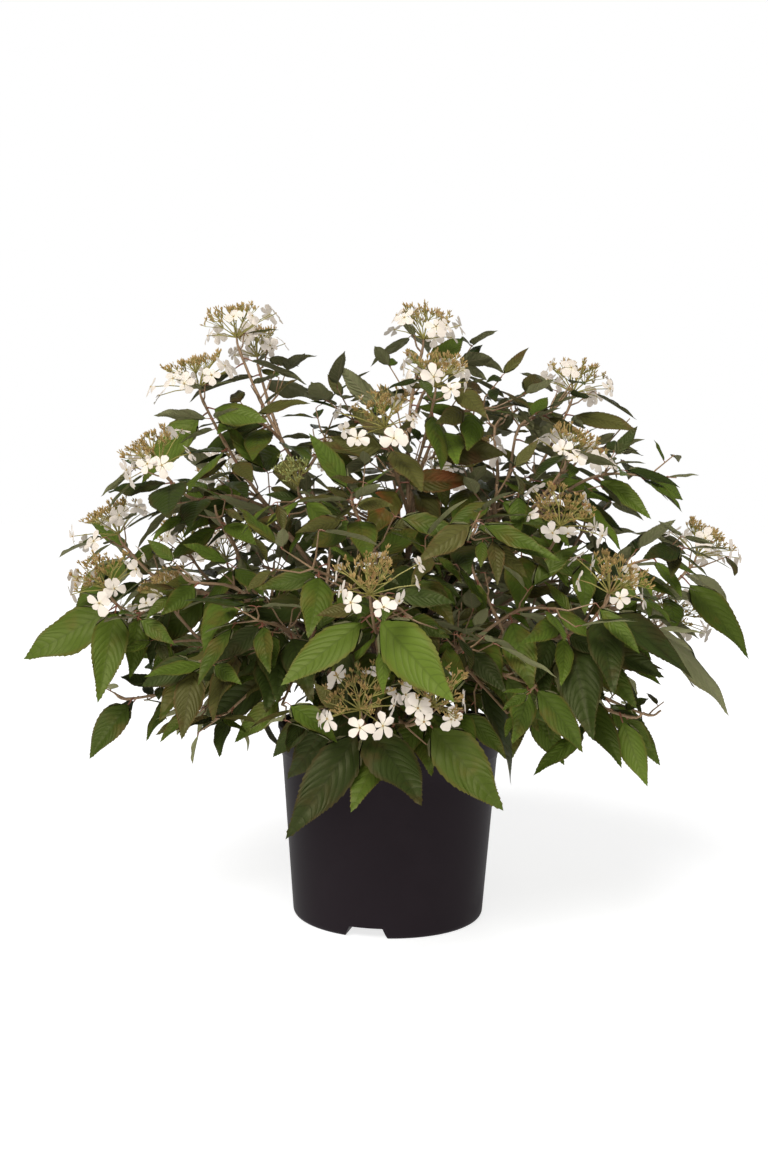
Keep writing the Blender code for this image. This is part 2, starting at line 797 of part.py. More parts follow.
def main():
    clear_scene()
    scene = bpy.context.scene
    plant = bpy.data.collections.new("potted_viburnum")
    cutters = bpy.data.collections.new("cutters")
    scene.collection.children.link(plant)
    scene.collection.children.link(cutters)
    pot_finish, soil_finish, bark, leaf = (material(name) for name in FINISHES)

    make_pot(plant, cutters, pot_finish)
    make_soil(plant, soil_finish)
    make_stem(plant, bark)
    boughs, masses = grow_plant()
    radii = taper(BOUGH_BASE_RADIUS, BOUGH_TIP_RADIUS, BOUGH_POINTS)
    for name, path in boughs.items():
        limb_object("bough_" + name, path, radii, BOUGH_RESOLUTION, plant, bark)
    for name, solids in masses.items():
        fused_object("foliage_" + name, solids, plant, leaf)


main()
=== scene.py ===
# %% [markdown]
# A potted viburnum: a low shrub with opposite, pointed, finely toothed leaves and flat flower
# heads, in a round nursery pot. The solid model gives the frame: its pot, stem, boughs and one
# solid for each foliage mass. This lesson grows the same shrub again from the same sizes and
# seeds, and then dresses every limb, twig, leaf and flower with a finer surface.

# %% Load the frame
import math
import random
from collections import namedtuple
from itertools import product

import bmesh
import bpy
import numpy as np
from mathutils import Matrix, Vector, noise
from mathutils.bvhtree import BVHTree


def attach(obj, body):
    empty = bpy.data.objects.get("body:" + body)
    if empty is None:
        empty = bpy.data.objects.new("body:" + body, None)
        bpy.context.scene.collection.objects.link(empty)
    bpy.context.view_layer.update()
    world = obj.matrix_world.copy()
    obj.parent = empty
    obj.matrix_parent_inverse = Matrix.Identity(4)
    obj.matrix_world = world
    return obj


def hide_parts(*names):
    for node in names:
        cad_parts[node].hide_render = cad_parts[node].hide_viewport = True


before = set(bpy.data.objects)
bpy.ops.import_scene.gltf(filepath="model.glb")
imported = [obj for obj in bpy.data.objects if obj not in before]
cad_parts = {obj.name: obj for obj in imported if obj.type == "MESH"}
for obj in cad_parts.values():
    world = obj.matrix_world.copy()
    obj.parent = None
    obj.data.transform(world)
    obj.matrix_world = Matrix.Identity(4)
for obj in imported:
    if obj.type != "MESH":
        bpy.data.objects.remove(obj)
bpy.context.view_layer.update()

# %% [markdown]
# The plant is seen from 1.5 m in front and a little above, through a 50 mm lens. The frame is
# taller than it is wide, so the film's 36 mm lie along its height. The camera could be aimed by
# hand, but a matrix of one place and two turns is exact.

# %% Camera
CAMERA_PLACE = Vector((-0.0075, -1.5002, 0.458))
CAMERA_PITCH = math.pi / 2 - 0.09
CAMERA_ROLL = 0.0125
LENS_MM = 50
FILM_MM = 36


def shown(name, data):
    """A new object of the scene that carries a mesh, a lamp or a lens."""
    made = bpy.data.objects.new(name, data)
    bpy.context.scene.collection.objects.link(made)
    return made


camera = shown("camera", bpy.data.cameras.new("camera"))
camera.data.lens = LENS_MM
camera.data.sensor_width = FILM_MM
camera.matrix_world = (Matrix.Translation(CAMERA_PLACE) @ Matrix.Rotation(CAMERA_PITCH, 4, "X")
                       @ Matrix.Rotation(CAMERA_ROLL, 4, "Z"))
bpy.context.scene.camera = camera
print("camera", [round(v, 3) for v in camera.matrix_world.translation])

# %% [markdown]
# The growth rule comes first, because everything else hangs on it. Each bough leaves the
# rounded top of the stem square to its surface and bends towards its foliage mass. A leading
# shoot goes on from its tip, the other shoots branch from the leader, and leaves sit on the
# shoots in opposite pairs. It could be drawn by hand, but a rule with seeded chances gives the
# same natural disorder each time. These helpers do its vector work.

# %% Vector helpers
MM = 0.001
GAP = 0.3 * MM
UP = Vector((0.0, 0.0, 1.0))
BACKWARD = Vector((0.0, 1.0, 0.0))


def unit(vector):
    return vector.normalized()


def turned(vector, axis, degrees):
    return Matrix.Rotation(math.radians(degrees), 3, axis) @ vector


def square_to(axis, wish):
    """The direction nearest to a wished one that is square to an axis."""
    return unit(wish - axis * wish.dot(axis))


def ring_point(radius, angle, z=0.0):
    return Vector((radius * math.cos(angle), radius * math.sin(angle), z))


def around(side, up, angle):
    """A direction in the plane of two others, turned from the first towards the second."""
    return side * math.cos(angle) + up * math.sin(angle)


def scatter(rng):
    return Vector([rng.uniform(-1, 1) for _ in range(3)])


def outward(point):
    """The level direction away from the pot's axis at a point."""
    flat = Vector((point.x, point.y, 0.0))
    if flat.length < 1.0 * MM:
        return -BACKWARD
    return unit(flat)


def level_side(along, node):
    """The level direction square to a shoot; where it stands upright, one round the pot."""
    level = along.cross(UP)
    return unit(level) if level.length > 0.2 else outward(node).cross(UP)


def smooth_path(start, leave, end, arrive, count):
    """Points of a curve that leaves the start and arrives at the end in given directions."""
    pull = 0.40 * (end - start).length
    near = start + unit(leave) * pull
    far = end - unit(arrive) * pull
    points = []
    for i in range(count):
        t = i / (count - 1)
        s = 1.0 - t
        points.append(start * s ** 3 + near * (3 * s * s * t) + far * (3 * s * t * t) + end * t ** 3)
    return points


def tangents(points):
    before = [points[0], *points[:-1]]
    after = [*points[1:], points[-1]]
    return [unit(ahead - behind) for behind, ahead in zip(before, after)]


def taper(start, end, count):
    return [start + (end - start) * i / (count - 1) for i in range(count)]


def tube(points, radii, sides):
    """A closed tube with flat ends along points, as vertices and faces."""
    along = tangents(points)
    side = along[0].orthogonal()
    vertices = []
    for point, radius, direction in zip(points, radii, along):
        side = square_to(direction, side)
        up = direction.cross(side)
        for k in range(sides):
            vertices.append(point + around(side, up, 2 * math.pi * k / sides) * radius)
    faces = []
    for i in range(len(points) - 1):
        for k in range(sides):
            here = i * sides + k
            beside = i * sides + (k + 1) % sides
            faces.append((here, beside, beside + sides, here + sides))
    last = (len(points) - 1) * sides
    faces.append(tuple(range(sides - 1, -1, -1)))
    faces.append(tuple(range(last, last + sides)))
    return vertices, faces


print("a test tube has", len(tube([Vector(), UP], [1.0, 1.0], 8)[1]), "faces")

# %% [markdown]
# The sizes of the growth rule are the real plant's: 43 mm between leaf pairs, large leaves of
# 76 to 100 mm, heads of about 72 mm. The table says where the shoots of each mass end, in
# millimetres: "bloom" ends in a flower head, "bud" in a small green one, "leaf" in leaves.
# More shoots, of kind "fill", then fill two domes evenly, where nothing in the table is near.

# %% Sizes of the growth rule
SOIL_TOP = 0.165
STEM_LEAN = Vector((0.0025, -0.0015, 0.0))
STOOL_RADIUS = 0.0195
STOOL_Z = 0.213
POT_RIM_RADIUS = 0.1062
POT_HEIGHT = 0.183
RINGS = [(8, 10.0), (7, 38.0), (5, 66.0)]
BOUGH_BASE_RADIUS = 0.0036
BOUGH_TIP_RADIUS = 0.0026
BOUGH_POINTS = 6
BOUGH_SHARE = 0.34
BOUGH_LIFT = 0.012
BOUGH_UPTURN = 0.25
LEADER_RADIUS = 0.0024
BRANCH_RADIUS = 0.0018
SHOOT_TIP_RADIUS = 0.0010
INTERNODE = 0.043
SHOOT_TRIES = 14
DOME_FOOT = Vector((0.0, 0.0, 0.225))
Dome = namedtuple("Dome", "reach_x reach_y rise count apart")
DOMES = [Dome(0.248, 0.235, 0.215, 60, 0.068), Dome(0.150, 0.140, 0.145, 24, 0.066)]
DOME_LOWEST = -0.16
DOME_HIGHEST = 0.97
LEAF_LONG = 0.100
LEAF_SHORT = 0.076
LEAF_WIDTH = 0.53
LEAF_THICKNESS = 0.0016
LEAF_THICKEST_AT = 0.28
LEAF_WIDEST_AT = 0.44
LEAF_FOLD = 0.16
LEAF_TRIES = 7
NODE_SETBACK = 0.20
NODE_STAGGER = 0.05
LEAF_CLEARANCE = 0.0007
LIMB_CLEARANCE = 0.0012
SPACE_TOLERANCE = 0.030
CROWN_LOW = 0.20
CROWN_HIGH = 0.50
CROWN_REACH = 0.30
STALK_LENGTH = 0.032
STALK_RISE = 0.7
HEAD_RADIUS = 0.023
HEAD_DEPTH = 0.014
HEAD_DOME = 0.005
FLORET_REACH = 0.036
FLORETS = 5
BUD_SIZE = 0.55
HEAD_TRIES = 6
HEAD_SHRINK = 0.9

SPRAYS = {
    "top_left": [("bloom", -158, 30, 562), ("bloom", -142, 60, 545), ("bud", -93, -100, 428),
                 ("leaf", -66, 40, 452), ("leaf", -145, -10, 468)],
    "upper_left": [("bloom", -190, -20, 512), ("bloom", -212, -80, 444), ("bloom", -173, 120, 425)],
    "left": [("bloom", -264, -20, 376), ("bloom", -211, 60, 360), ("bloom", -255, -100, 336),
             ("leaf", -240, 30, 312)],
    "low_left": [("bloom", -206, -60, 318), ("leaf", -202, -80, 268), ("leaf", -168, -60, 206),
                 ("leaf", -160, 60, 198)],
    "front_left": [("leaf", -112, -180, 300), ("leaf", -140, -145, 216), ("leaf", -92, -172, 228),
                   ("leaf", -168, -176, 262)],
    "front": [("leaf", 13, -215, 308), ("bloom", -18, -262, 350), ("leaf", -66, -195, 345)],
    "front_low": [("bloom", -25, -240, 254), ("bloom", 30, -246, 260), ("leaf", -16, -172, 250),
                  ("leaf", -74, -172, 222), ("leaf", 62, -176, 226)],
    "front_right": [("leaf", 63, -190, 280), ("leaf", 98, -165, 222), ("leaf", 137, -170, 312),
                    ("leaf", 118, -205, 252)],
    "top_middle": [("bloom", 34, 40, 562), ("bloom", 40, -80, 515), ("leaf", 64, 60, 524),
                   ("bloom", -8, -100, 478), ("leaf", -38, 10, 468), ("leaf", 80, -50, 480)],
    "upper_right": [("bloom", 162, -50, 452), ("bloom", 184, 70, 514), ("bloom", 88, 0, 442),
                    ("leaf", 150, 30, 478), ("leaf", 120, 60, 480)],
    "right": [("leaf", 235, -30, 420), ("leaf", 205, 60, 445), ("bloom", 148, -140, 398)],
    "far_right": [("bloom", 300, 20, 360), ("leaf", 245, -60, 350), ("bloom", 274, 50, 300)],
    "right_front": [("bloom", 191, -165, 340), ("leaf", 205, -100, 290), ("leaf", 150, -145, 288)],
    "low_right": [("leaf", 178, -50, 250), ("leaf", 162, 50, 226), ("leaf", 122, -122, 214)],
    "back_top": [("bloom", 60, 190, 425), ("bloom", -60, 170, 440), ("leaf", -10, 120, 445)],
}
FAR_SIDE = {
    "back": "front",
    "back_low": "front_low",
    "back_left": "right_front",
    "back_mid_left": "front_right",
    "back_right": "front_left",
}
FAR_SIDE_TURN = 176.0
print("masses", len(SPRAYS) + len(FAR_SIDE))

# %% [markdown]
# The plan turns some masses of the near side about half round for the far side, adds the filling
# shoots, and deals each bough its place on the stem's rounded top in three rings.

# %% The plan of the boughs
def spray_plan():
    plan = {}
    for name, rows in SPRAYS.items():
        plan[name] = [(kind, Vector((x, y, z)) * MM) for kind, x, y, z in rows]
    for name, twin in FAR_SIDE.items():
        plan[name] = [(kind, turned(tip, UP, FAR_SIDE_TURN)) for kind, tip in plan[twin]]
    return plan


def middle(rows):
    return sum((tip for _, tip in rows), Vector()) / len(rows)


def dome_points(dome):
    """Points spread evenly over a dome by the golden angle."""
    golden = math.pi * (3 - math.sqrt(5))
    for i in range(dome.count):
        height = DOME_LOWEST + (DOME_HIGHEST - DOME_LOWEST) * (i + 0.5) / dome.count
        ring = math.sqrt(1 - height * height)
        turn = i * golden
        yield DOME_FOOT + Vector((dome.reach_x * ring * math.cos(turn),
                                  dome.reach_y * ring * math.sin(turn), dome.rise * height))


def filled_plan(plan):
    """Adds a leafy shoot wherever a dome's point is far from every other tip."""
    full = {name: list(rows) for name, rows in plan.items()}
    tips = [tip for rows in plan.values() for _, tip in rows]
    for dome in DOMES:
        for point in dome_points(dome):
            if min((point - tip).length for tip in tips) < dome.apart:
                continue
            tips.append(point)
            nearest = min(plan, key=lambda name: (middle(plan[name]) - point).length)
            full[nearest].append(("fill", point))
    return full


def stool_centre():
    return Vector((0.0, 0.0, STOOL_Z)) + STEM_LEAN


def ring_directions(plan):
    """Deals each bough its direction off the stool, in rings from the lowest mass up."""
    def pitch_of(name):
        seen = middle(plan[name]) - stool_centre()
        return seen.z / seen.length

    waiting = sorted(plan, key=pitch_of)
    directions = {}
    for count, degrees in RINGS:
        members, waiting = waiting[:count], waiting[count:]
        bearings = {name: math.atan2(middle(plan[name]).y, middle(plan[name]).x) for name in members}
        members.sort(key=bearings.get)
        step = 2 * math.pi / len(members)
        drift = sum(bearings[name] - i * step for i, name in enumerate(members)) / len(members)
        rise = math.radians(degrees)
        for i, name in enumerate(members):
            directions[name] = around(ring_point(1.0, drift + i * step), UP, rise)
    return directions


def bough_path(direction, rows):
    """A bough's curve: a third of the way to the middle of its mass, and a little upwards."""
    start = stool_centre() + direction * (STOOL_RADIUS + GAP)
    aim = middle(rows)
    end = start + (aim - start) * BOUGH_SHARE
    end.z += BOUGH_LIFT
    arrive = unit(aim - end) + UP * BOUGH_UPTURN
    return smooth_path(start, direction, end, arrive, BOUGH_POINTS)


near_plan = spray_plan()
directions = ring_directions(near_plan)
boughs = {name: bough_path(directions[name], rows) for name, rows in near_plan.items()}
shoot_plan = filled_plan(near_plan)
print("boughs", len(boughs), "shoots wanted", sum(len(rows) for rows in shoot_plan.values()))

# %% [markdown]
# Twigs and leaves of a real crown push past one another without crossing. Each limb, leaf and
# head that is placed is kept as a simple solid in a search tree, and a new one is taken only
# if it meets none of them. A physics run could part them too, but a test while growing is
# quick and gives the same result each time.

# %% What is already in place
def box_of(solid):
    vertices, _ = solid
    low = [min(vertex[i] for vertex in vertices) for i in range(3)]
    high = [max(vertex[i] for vertex in vertices) for i in range(3)]
    return low, high


class Placed:
    """Solids that are already in place, each with its owner and a box for a quick test."""

    def __init__(self):
        self.items = []

    def add(self, solid, owner):
        low, high = box_of(solid)
        self.items.append((low, high, BVHTree.FromPolygons(*solid), owner))

    def meets(self, solid, *ignored):
        """True when a solid crosses anything in place, other than what the ignored own."""
        low, high = box_of(solid)
        tree = None
        for low_2, high_2, tree_2, owner in self.items:
            if owner in ignored:
                continue
            if any(low[i] > high_2[i] or high[i] < low_2[i] for i in range(3)):
                continue
            tree = tree or BVHTree.FromPolygons(*solid)
            if tree.overlap(tree_2):
                return True
        return False


def place_limbs():
    """The pot and the boughs, which everything that grows keeps clear of."""
    placed = Placed()
    pot_radius = POT_RIM_RADIUS + LIMB_CLEARANCE
    placed.add(tube([UP * (POT_HEIGHT / 3), UP * POT_HEIGHT], [pot_radius] * 2, 24), "pot")
    radii = taper(BOUGH_BASE_RADIUS + LIMB_CLEARANCE, BOUGH_TIP_RADIUS + LIMB_CLEARANCE, BOUGH_POINTS)
    for name, path in boughs.items():
        placed.add(tube(path, radii, 8), ("bough", name))
    return placed


placed = place_limbs()
print("limbs in place", len(placed.items))

# %% Shoots
Shoot = namedtuple("Shoot", "kind points radius")
LEAFY = ("leaf", "fill")
LEAFY_RISE = (-0.30, 0.15)
FLOWER_SPREAD = (0.30, 0.60)
JOINT_COST = 0.03
SWERVE = 0.12
BRANCH_PULL = 0.8


def shoot_end(kind, tip, rng):
    """Where the leafy part of a shoot ends, and the direction in which it arrives."""
    away = outward(tip)
    if kind in LEAFY:
        return tip, unit(away + UP * rng.uniform(*LEAFY_RISE))
    arrive = unit(UP + away * rng.uniform(*FLOWER_SPREAD))
    return tip - arrive * STALK_LENGTH, arrive


def leader_joint(leader, end):
    """The leader's node from which a shoot branches to reach an end: none in its last third."""
    usable = range(1, max(2, (2 * len(leader)) // 3))
    return min(usable, key=lambda i: (leader[i] - end).length + JOINT_COST * i)


def stalk_direction(points):
    """A flower's stalk turns up from the end of its shoot."""
    return unit(tangents(points)[-1] + UP * STALK_RISE)


def with_stalk(kind, points):
    """A shoot's points, and on a blooming shoot the point where its stalk meets the head."""
    if kind in LEAFY:
        return points
    return points + [points[-1] + stalk_direction(points) * (STALK_LENGTH - HEAD_DEPTH / 2)]


def clear_shoot(name, index, seed, kind, tip, bough, siblings):
    """A shoot clear of other masses' limbs: it swerves more at each try."""
    out = tangents(bough)[-1]
    for attempt in range(SHOOT_TRIES):
        rng = random.Random(seed * 6007 + index * 389 + attempt)
        swerve = scatter(rng) * SWERVE * attempt
        if index == 0:
            start, radius = bough[-1] + out * GAP, LEADER_RADIUS
            leave = out + swerve * 0.5
        else:
            leader = siblings[0].points
            joint = leader_joint(leader, tip)
            start, radius = leader[joint], BRANCH_RADIUS
            leave = unit(tangents(leader)[joint]) + unit(tip - start) * BRANCH_PULL + swerve
        end, arrive = shoot_end(kind, tip, rng)
        count = max(3, round((end - start).length / INTERNODE) + 1)
        points = smooth_path(start, leave, end, arrive, count)
        whole = with_stalk(kind, points)
        radii = taper(radius + LIMB_CLEARANCE, SHOOT_TIP_RADIUS + LIMB_CLEARANCE, len(whole))
        solid = tube(whole, radii, 4)
        if not placed.meets(solid, name, ("bough", name) if index == 0 else None):
            placed.add(solid, name)
            return Shoot(kind, points, radius)
    return None


def grow_shoots(plan):
    """Every mass's shoots, clear of other masses' limbs, with the leader first."""
    grown = {name: [] for name in plan}
    for index in range(max(len(rows) for rows in plan.values())):
        for seed, (name, rows) in enumerate(plan.items()):
            if index < len(rows):
                kind, tip = rows[index]
                found = clear_shoot(name, index, seed, kind, tip, boughs[name], grown[name])
                if found:
                    grown[name].append(found)
    return grown


shoots = grow_shoots(shoot_plan)
print("shoots", sum(len(found) for found in shoots.values()))

# %% [markdown]
# A flower head is kept as an upturned shallow cone with a star-shaped margin. The star's
# points are where the large white florets will stand, so they are noted here.

# %% Flower heads in their places
Head = namedtuple("Head", "mass kind hub arrive size florets")
STAR_POINT = (0.88, 1.08)
STAR_LIFT_MM = (-4, 3)


def lens(rim, top, bottom):
    """A thin closed plate: a rim of points with one point above it and one below."""
    vertices = list(rim) + [top, bottom]
    count = len(rim)
    faces = []
    for i in range(count):
        after = (i + 1) % count
        faces.append((i, after, count))
        faces.append((after, i, count + 1))
    return vertices, faces


def clear_head(name, key, kind, hub, arrive):
    """A flower head that touches no other mass: it shrinks a little at each try."""
    for attempt in range(HEAD_TRIES):
        rng = random.Random(key + 17 * attempt)
        size = (1.0 if kind == "bloom" else BUD_SIZE) * HEAD_SHRINK ** attempt
        plate = hub + arrive * STALK_LENGTH
        side = turned(arrive.orthogonal(), arrive, rng.uniform(0, 360))
        rim = []
        for k in range(2 * FLORETS):
            reach = FLORET_REACH * rng.uniform(*STAR_POINT) if k % 2 == 0 else HEAD_RADIUS
            lift = arrive * rng.uniform(*STAR_LIFT_MM) * MM
            rim.append(plate + turned(side, arrive, 180 * k / FLORETS) * reach * size + lift)
        solid = lens(rim, plate + arrive * HEAD_DOME, plate - arrive * HEAD_DEPTH * size)
        if not placed.meets(solid, name):
            placed.add(solid, (name, "head"))
            return Head(name, kind, hub, arrive, size, rim[::2])
    return None


heads = []
for seed, (name, found) in enumerate(shoots.items()):
    for index, shoot in enumerate(found):
        if shoot.kind not in LEAFY:
            head = clear_head(name, seed * 131 + index, shoot.kind, shoot.points[-1],
                              stalk_direction(shoot.points))
            if head:
                heads.append(head)
print("flower heads", len(heads))

# %% [markdown]
# Leaves come in opposite pairs. High up they lie nearly level and lean to the light, low down
# and outside they are longer and hang. A leaf is taken only if its simple solid keeps to its
# own mass's space and meets nothing.

# %% Leaves in their places
Leaf = namedtuple("Leaf", "mass shoot young node root axis face length arch")
LEAF_SWAY = (-24, 24)
LEAF_OPENING = (40, 66)
UPRIGHT_OPENING = 24
LEAF_ROLL = (-34, 34)
LEAF_DROOP = (-0.25, 0.30)
LEAF_ARCH = (0.10, 0.30)
LEAF_GROWN = (0.82, 1.12)
LEAF_SHRINK = 0.93
LIGHT_DEPTH = 1.6
LAST_PAIR_GROWN = 0.66
NEXT_PAIR_GROWN = 0.88


def leaf_solid(root, along, normal, length, arch, fat=0.0):
    """A leaf as eight triangles. Its root point is sunk in the twig that bears it."""
    side = along.cross(normal)
    half = LEAF_WIDTH * length / 2 + fat

    def at(share, across, lift):
        drop = arch * length * share * share
        return root + along * (share * length) + side * across + normal * (lift - drop)

    thick = LEAF_THICKNESS / 2 + fat
    rim = [
        at(0.0, 0.0, 0.0),
        at(LEAF_WIDEST_AT, half, LEAF_FOLD * half),
        at(1.0, 0.0, 0.0),
        at(LEAF_WIDEST_AT, -half, LEAF_FOLD * half),
    ]
    return lens(rim, at(LEAF_THICKEST_AT, 0.0, thick), at(LEAF_THICKEST_AT, 0.0, -thick))


def spine_distance(point, spine):
    return min((point - other).length for other in spine)


def keeps_space(points, name):
    """True when points are nearer to their own mass's shoots than to any other mass's."""
    for point in points:
        own = spine_distance(point, spines[name])
        for other, spine in spines.items():
            if other != name and spine_distance(point, spine) + SPACE_TOLERANCE < own:
                return False
    return True


def leaf_pose(node, along, turn, hand, rng, attempt):
    """The direction, face and length of a leaf on a node of a shoot, leaning to the light."""
    side = turned(level_side(along, node), along, turn + rng.uniform(*LEAF_SWAY)) * hand
    opening = math.radians(rng.uniform(*LEAF_OPENING) + UPRIGHT_OPENING * max(0.0, along.z))
    axis = unit(around(along, side, opening))
    # How low, how far out and how well lit the node is, each from 0 to 1.
    low = min(1.0, max(0.0, (CROWN_HIGH - node.z) / (CROWN_HIGH - CROWN_LOW)))
    outer = min(1.0, math.hypot(node.x, node.y) / CROWN_REACH)
    bright = (1 - 0.6 * low) * min(1.0, max(0.0, 0.55 - LIGHT_DEPTH * node.y / CROWN_REACH))
    # Low outer leaves hang, rising ones sag, and lit ones turn their faces to the front.
    droop = 0.42 + 0.80 * low * low * (0.40 + 0.60 * outer) + rng.uniform(*LEAF_DROOP)
    droop += 0.9 * max(0.0, axis.z - 0.2) - 0.75 * bright * max(0.0, axis.y)
    axis = unit(axis + outward(node) * (0.15 + 0.50 * low) - UP * droop)
    skyward = UP + outward(node) * 0.45 - BACKWARD * 1.1 * bright
    roll = rng.uniform(*LEAF_ROLL) * (1 + 0.2 * attempt)
    face = turned(square_to(axis, skyward), axis, roll)
    length = LEAF_SHORT + (LEAF_LONG - LEAF_SHORT) * math.sqrt(low)
    length *= rng.uniform(*LEAF_GROWN) * LEAF_SHRINK ** attempt
    return axis, face, length


def clear_leaf(name, key, node, along, turn, hand, grown, radius):
    """A leaf that keeps its mass's space and touches nothing, or None after a few tries."""
    seed, index, place = key
    for attempt in range(LEAF_TRIES):
        rng = random.Random(seed * 7919 + index * 977 + place * 53 + hand * 11 + attempt)
        axis, face, length = leaf_pose(node, along, turn, hand, rng, attempt)
        length *= grown
        arch = rng.uniform(*LEAF_ARCH)
        root = node - axis * radius * 0.35
        solid = leaf_solid(root, axis, face, length, arch)
        if not keeps_space(solid[0][1:4], name):
            continue
        clear_root = node + axis * (radius + 2 * MM)
        puffed = leaf_solid(clear_root, axis, face, length, arch, LEAF_CLEARANCE)
        if not placed.meets(puffed) and not placed.meets(solid, name):
            placed.add(solid, (name, "leaf"))
            return Leaf(name, index, False, node, root, axis, face, length, arch)
    return None


def shoot_leaves(name, index, seed, shoot):
    """The leaves of one shoot, in opposite pairs at its nodes."""
    along = tangents(shoot.points)
    last = len(shoot.points) - 1
    found = []
    for i in range(2 if index == 0 else 1, last + 1):
        upright = min(1.0, max(0.0, (along[i].z - 0.45) / 0.4))
        turn = 90.0 * (i % 2) * upright
        grown = NEXT_PAIR_GROWN if i == last - 1 else LAST_PAIR_GROWN
        if i < last - 1 or shoot.kind == "bloom":
            grown = 1.0
        here = shoot.radius + (SHOOT_TIP_RADIUS - shoot.radius) * i / last
        for hand in (-1, 1):
            node = shoot.points[i].lerp(shoot.points[i - 1], NODE_SETBACK + NODE_STAGGER * hand)
            leaf = clear_leaf(name, (seed, index, i), node, along[i], turn, hand, grown, here)
            if leaf:
                found.append(leaf)
    return found


spines = {name: [point for shoot in found for point in shoot.points[1:]]
          for name, found in shoots.items()}
leaves = []
for seed, (name, found) in enumerate(shoots.items()):
    for index, shoot in enumerate(found):
        leaves.extend(shoot_leaves(name, index, seed, shoot))
print("leaves", len(leaves))

# %% [markdown]
# The real crown also has what is too fine for solids: short side twigs in the leaf axils, with
# pairs of small young leaves. They grow by the same rule from the same nodes, and a twig or
# leaf that would touch its neighbours is left out, so that the crown keeps its outline.

# %% Side twigs with young leaves
AXIL_ROUNDS = 2
AXIL_CHANCE = 0.85
AXIL_LENGTH = (0.016, 0.040)
AXIL_CLEAR = 0.006
AXIL_SWAY = (-60, 60)
AXIL_AIM = (0.5, 1.0)
AXIL_RISE = (-0.1, 0.5)
AXIL_POINTS = 4
TWIG_RADIUS = 0.0009
SECOND_PAIR_CHANCE = 0.5
SECOND_PAIR_SIZE = 0.75
YOUNG_LEAF = (0.030, 0.066)
YOUNG_SWAY = (-50, 50)
YOUNG_OPENING = (30, 65)
YOUNG_DROOP = (0.0, 0.5)
YOUNG_ROLL = (-40, 40)
YOUNG_ARCH = (0.04, 0.25)

# The boughs bear side twigs too, from this point of their path on, as a shoot of this number.
BOUGH_BARE_POINTS = 3
BOUGH_SHOOT = 60

# How far from the pot's axis the crown reaches at each height.
CROWN_PROFILE = [(0.16, 0.215), (0.22, 0.262), (0.27, 0.298), (0.33, 0.332), (0.38, 0.318),
                 (0.43, 0.282), (0.48, 0.232), (0.53, 0.185), (0.58, 0.140)]

twigs = []


def rounded_path(path):
    """A limb's points with a halfway point between each two."""
    halves = [here.lerp(after, 0.5) for here, after in zip(path, path[1:])]
    return [point for pair in zip(path, halves) for point in pair] + [path[-1]]


def in_crown(point):
    heights, reaches = zip(*CROWN_PROFILE)
    return math.hypot(point.x, point.y) < np.interp(point.z, heights, reaches)


def young_leaf(name, index, node, along, hand, size, rng):
    """A small leaf inside the crown's outline that touches nothing, or None."""
    side = turned(level_side(along, node), along, rng.uniform(*YOUNG_SWAY)) * hand
    opening = math.radians(rng.uniform(*YOUNG_OPENING))
    axis = unit(around(along, side, opening) - UP * rng.uniform(*YOUNG_DROOP))
    face = square_to(axis, UP + outward(node) * 0.4)
    face = turned(face, axis, rng.uniform(*YOUNG_ROLL))
    arch = rng.uniform(*YOUNG_ARCH)
    puffed = leaf_solid(node + axis * 3 * MM, axis, face, size, arch, LEAF_CLEARANCE / 2)
    if not in_crown(node + axis * size) or placed.meets(puffed):
        return None
    placed.add(leaf_solid(node, axis, face, size, arch), (name, "young"))
    return Leaf(name, index, True, node, node, axis, face, size, arch)


def axil_twig(name, index, node, along, hand, rng):
    """A short twig from a leaf axil, with one or two pairs of young leaves at its end."""
    side = turned(level_side(along, node), along, rng.uniform(*AXIL_SWAY)) * hand
    aim = along * rng.uniform(*AXIL_AIM) + side * rng.uniform(*AXIL_AIM) + UP * rng.uniform(*AXIL_RISE)
    aim = unit(aim)
    length = rng.uniform(*AXIL_LENGTH)
    points = smooth_path(node, along * 0.4 + side, node + aim * length, aim, AXIL_POINTS)
    start = node + (points[1] - node) * min(1.0, AXIL_CLEAR / length)
    solid = tube([start, points[-2], points[-1]], [TWIG_RADIUS] * 3, 4)
    if placed.meets(solid, name, ("bough", name)):
        return
    found = []
    for bearer, share in ((points[-1], 1.0), (points[-2], SECOND_PAIR_SIZE)):
        if share < 1.0 and rng.random() < SECOND_PAIR_CHANCE:
            continue
        for each in (-1, 1):
            size = rng.uniform(*YOUNG_LEAF) * share
            leaf = young_leaf(name, index, bearer, aim, each, size, rng)
            if leaf:
                found.append(leaf)
    if found:
        placed.add(solid, name)
        twigs.append(points)
        leaves.extend(found)


for turn in range(AXIL_ROUNDS):
    for seed, (name, found) in enumerate(shoots.items()):
        for index, shoot in enumerate(found):
            along = tangents(shoot.points)
            for i, hand in product(range(1, len(shoot.points)), (-1, 1)):
                rng = random.Random(turn * 90001 + seed * 4001 + index * 211 + i * 17 + hand)
                if rng.random() < AXIL_CHANCE:
                    axil_twig(name, index, shoot.points[i], along[i], hand, rng)
    for seed, (name, path) in enumerate(boughs.items()):
        inner = rounded_path(path)
        along = tangents(inner)
        for i, hand in product(range(BOUGH_BARE_POINTS, len(inner)), (-1, 1)):
            rng = random.Random(turn * 90001 + seed * 6007 + i * 19 + hand)
            axil_twig(name, BOUGH_SHOOT, inner[i], along[i], hand, rng)
print("side twigs", len(twigs), "leaves with the young ones", len(leaves))

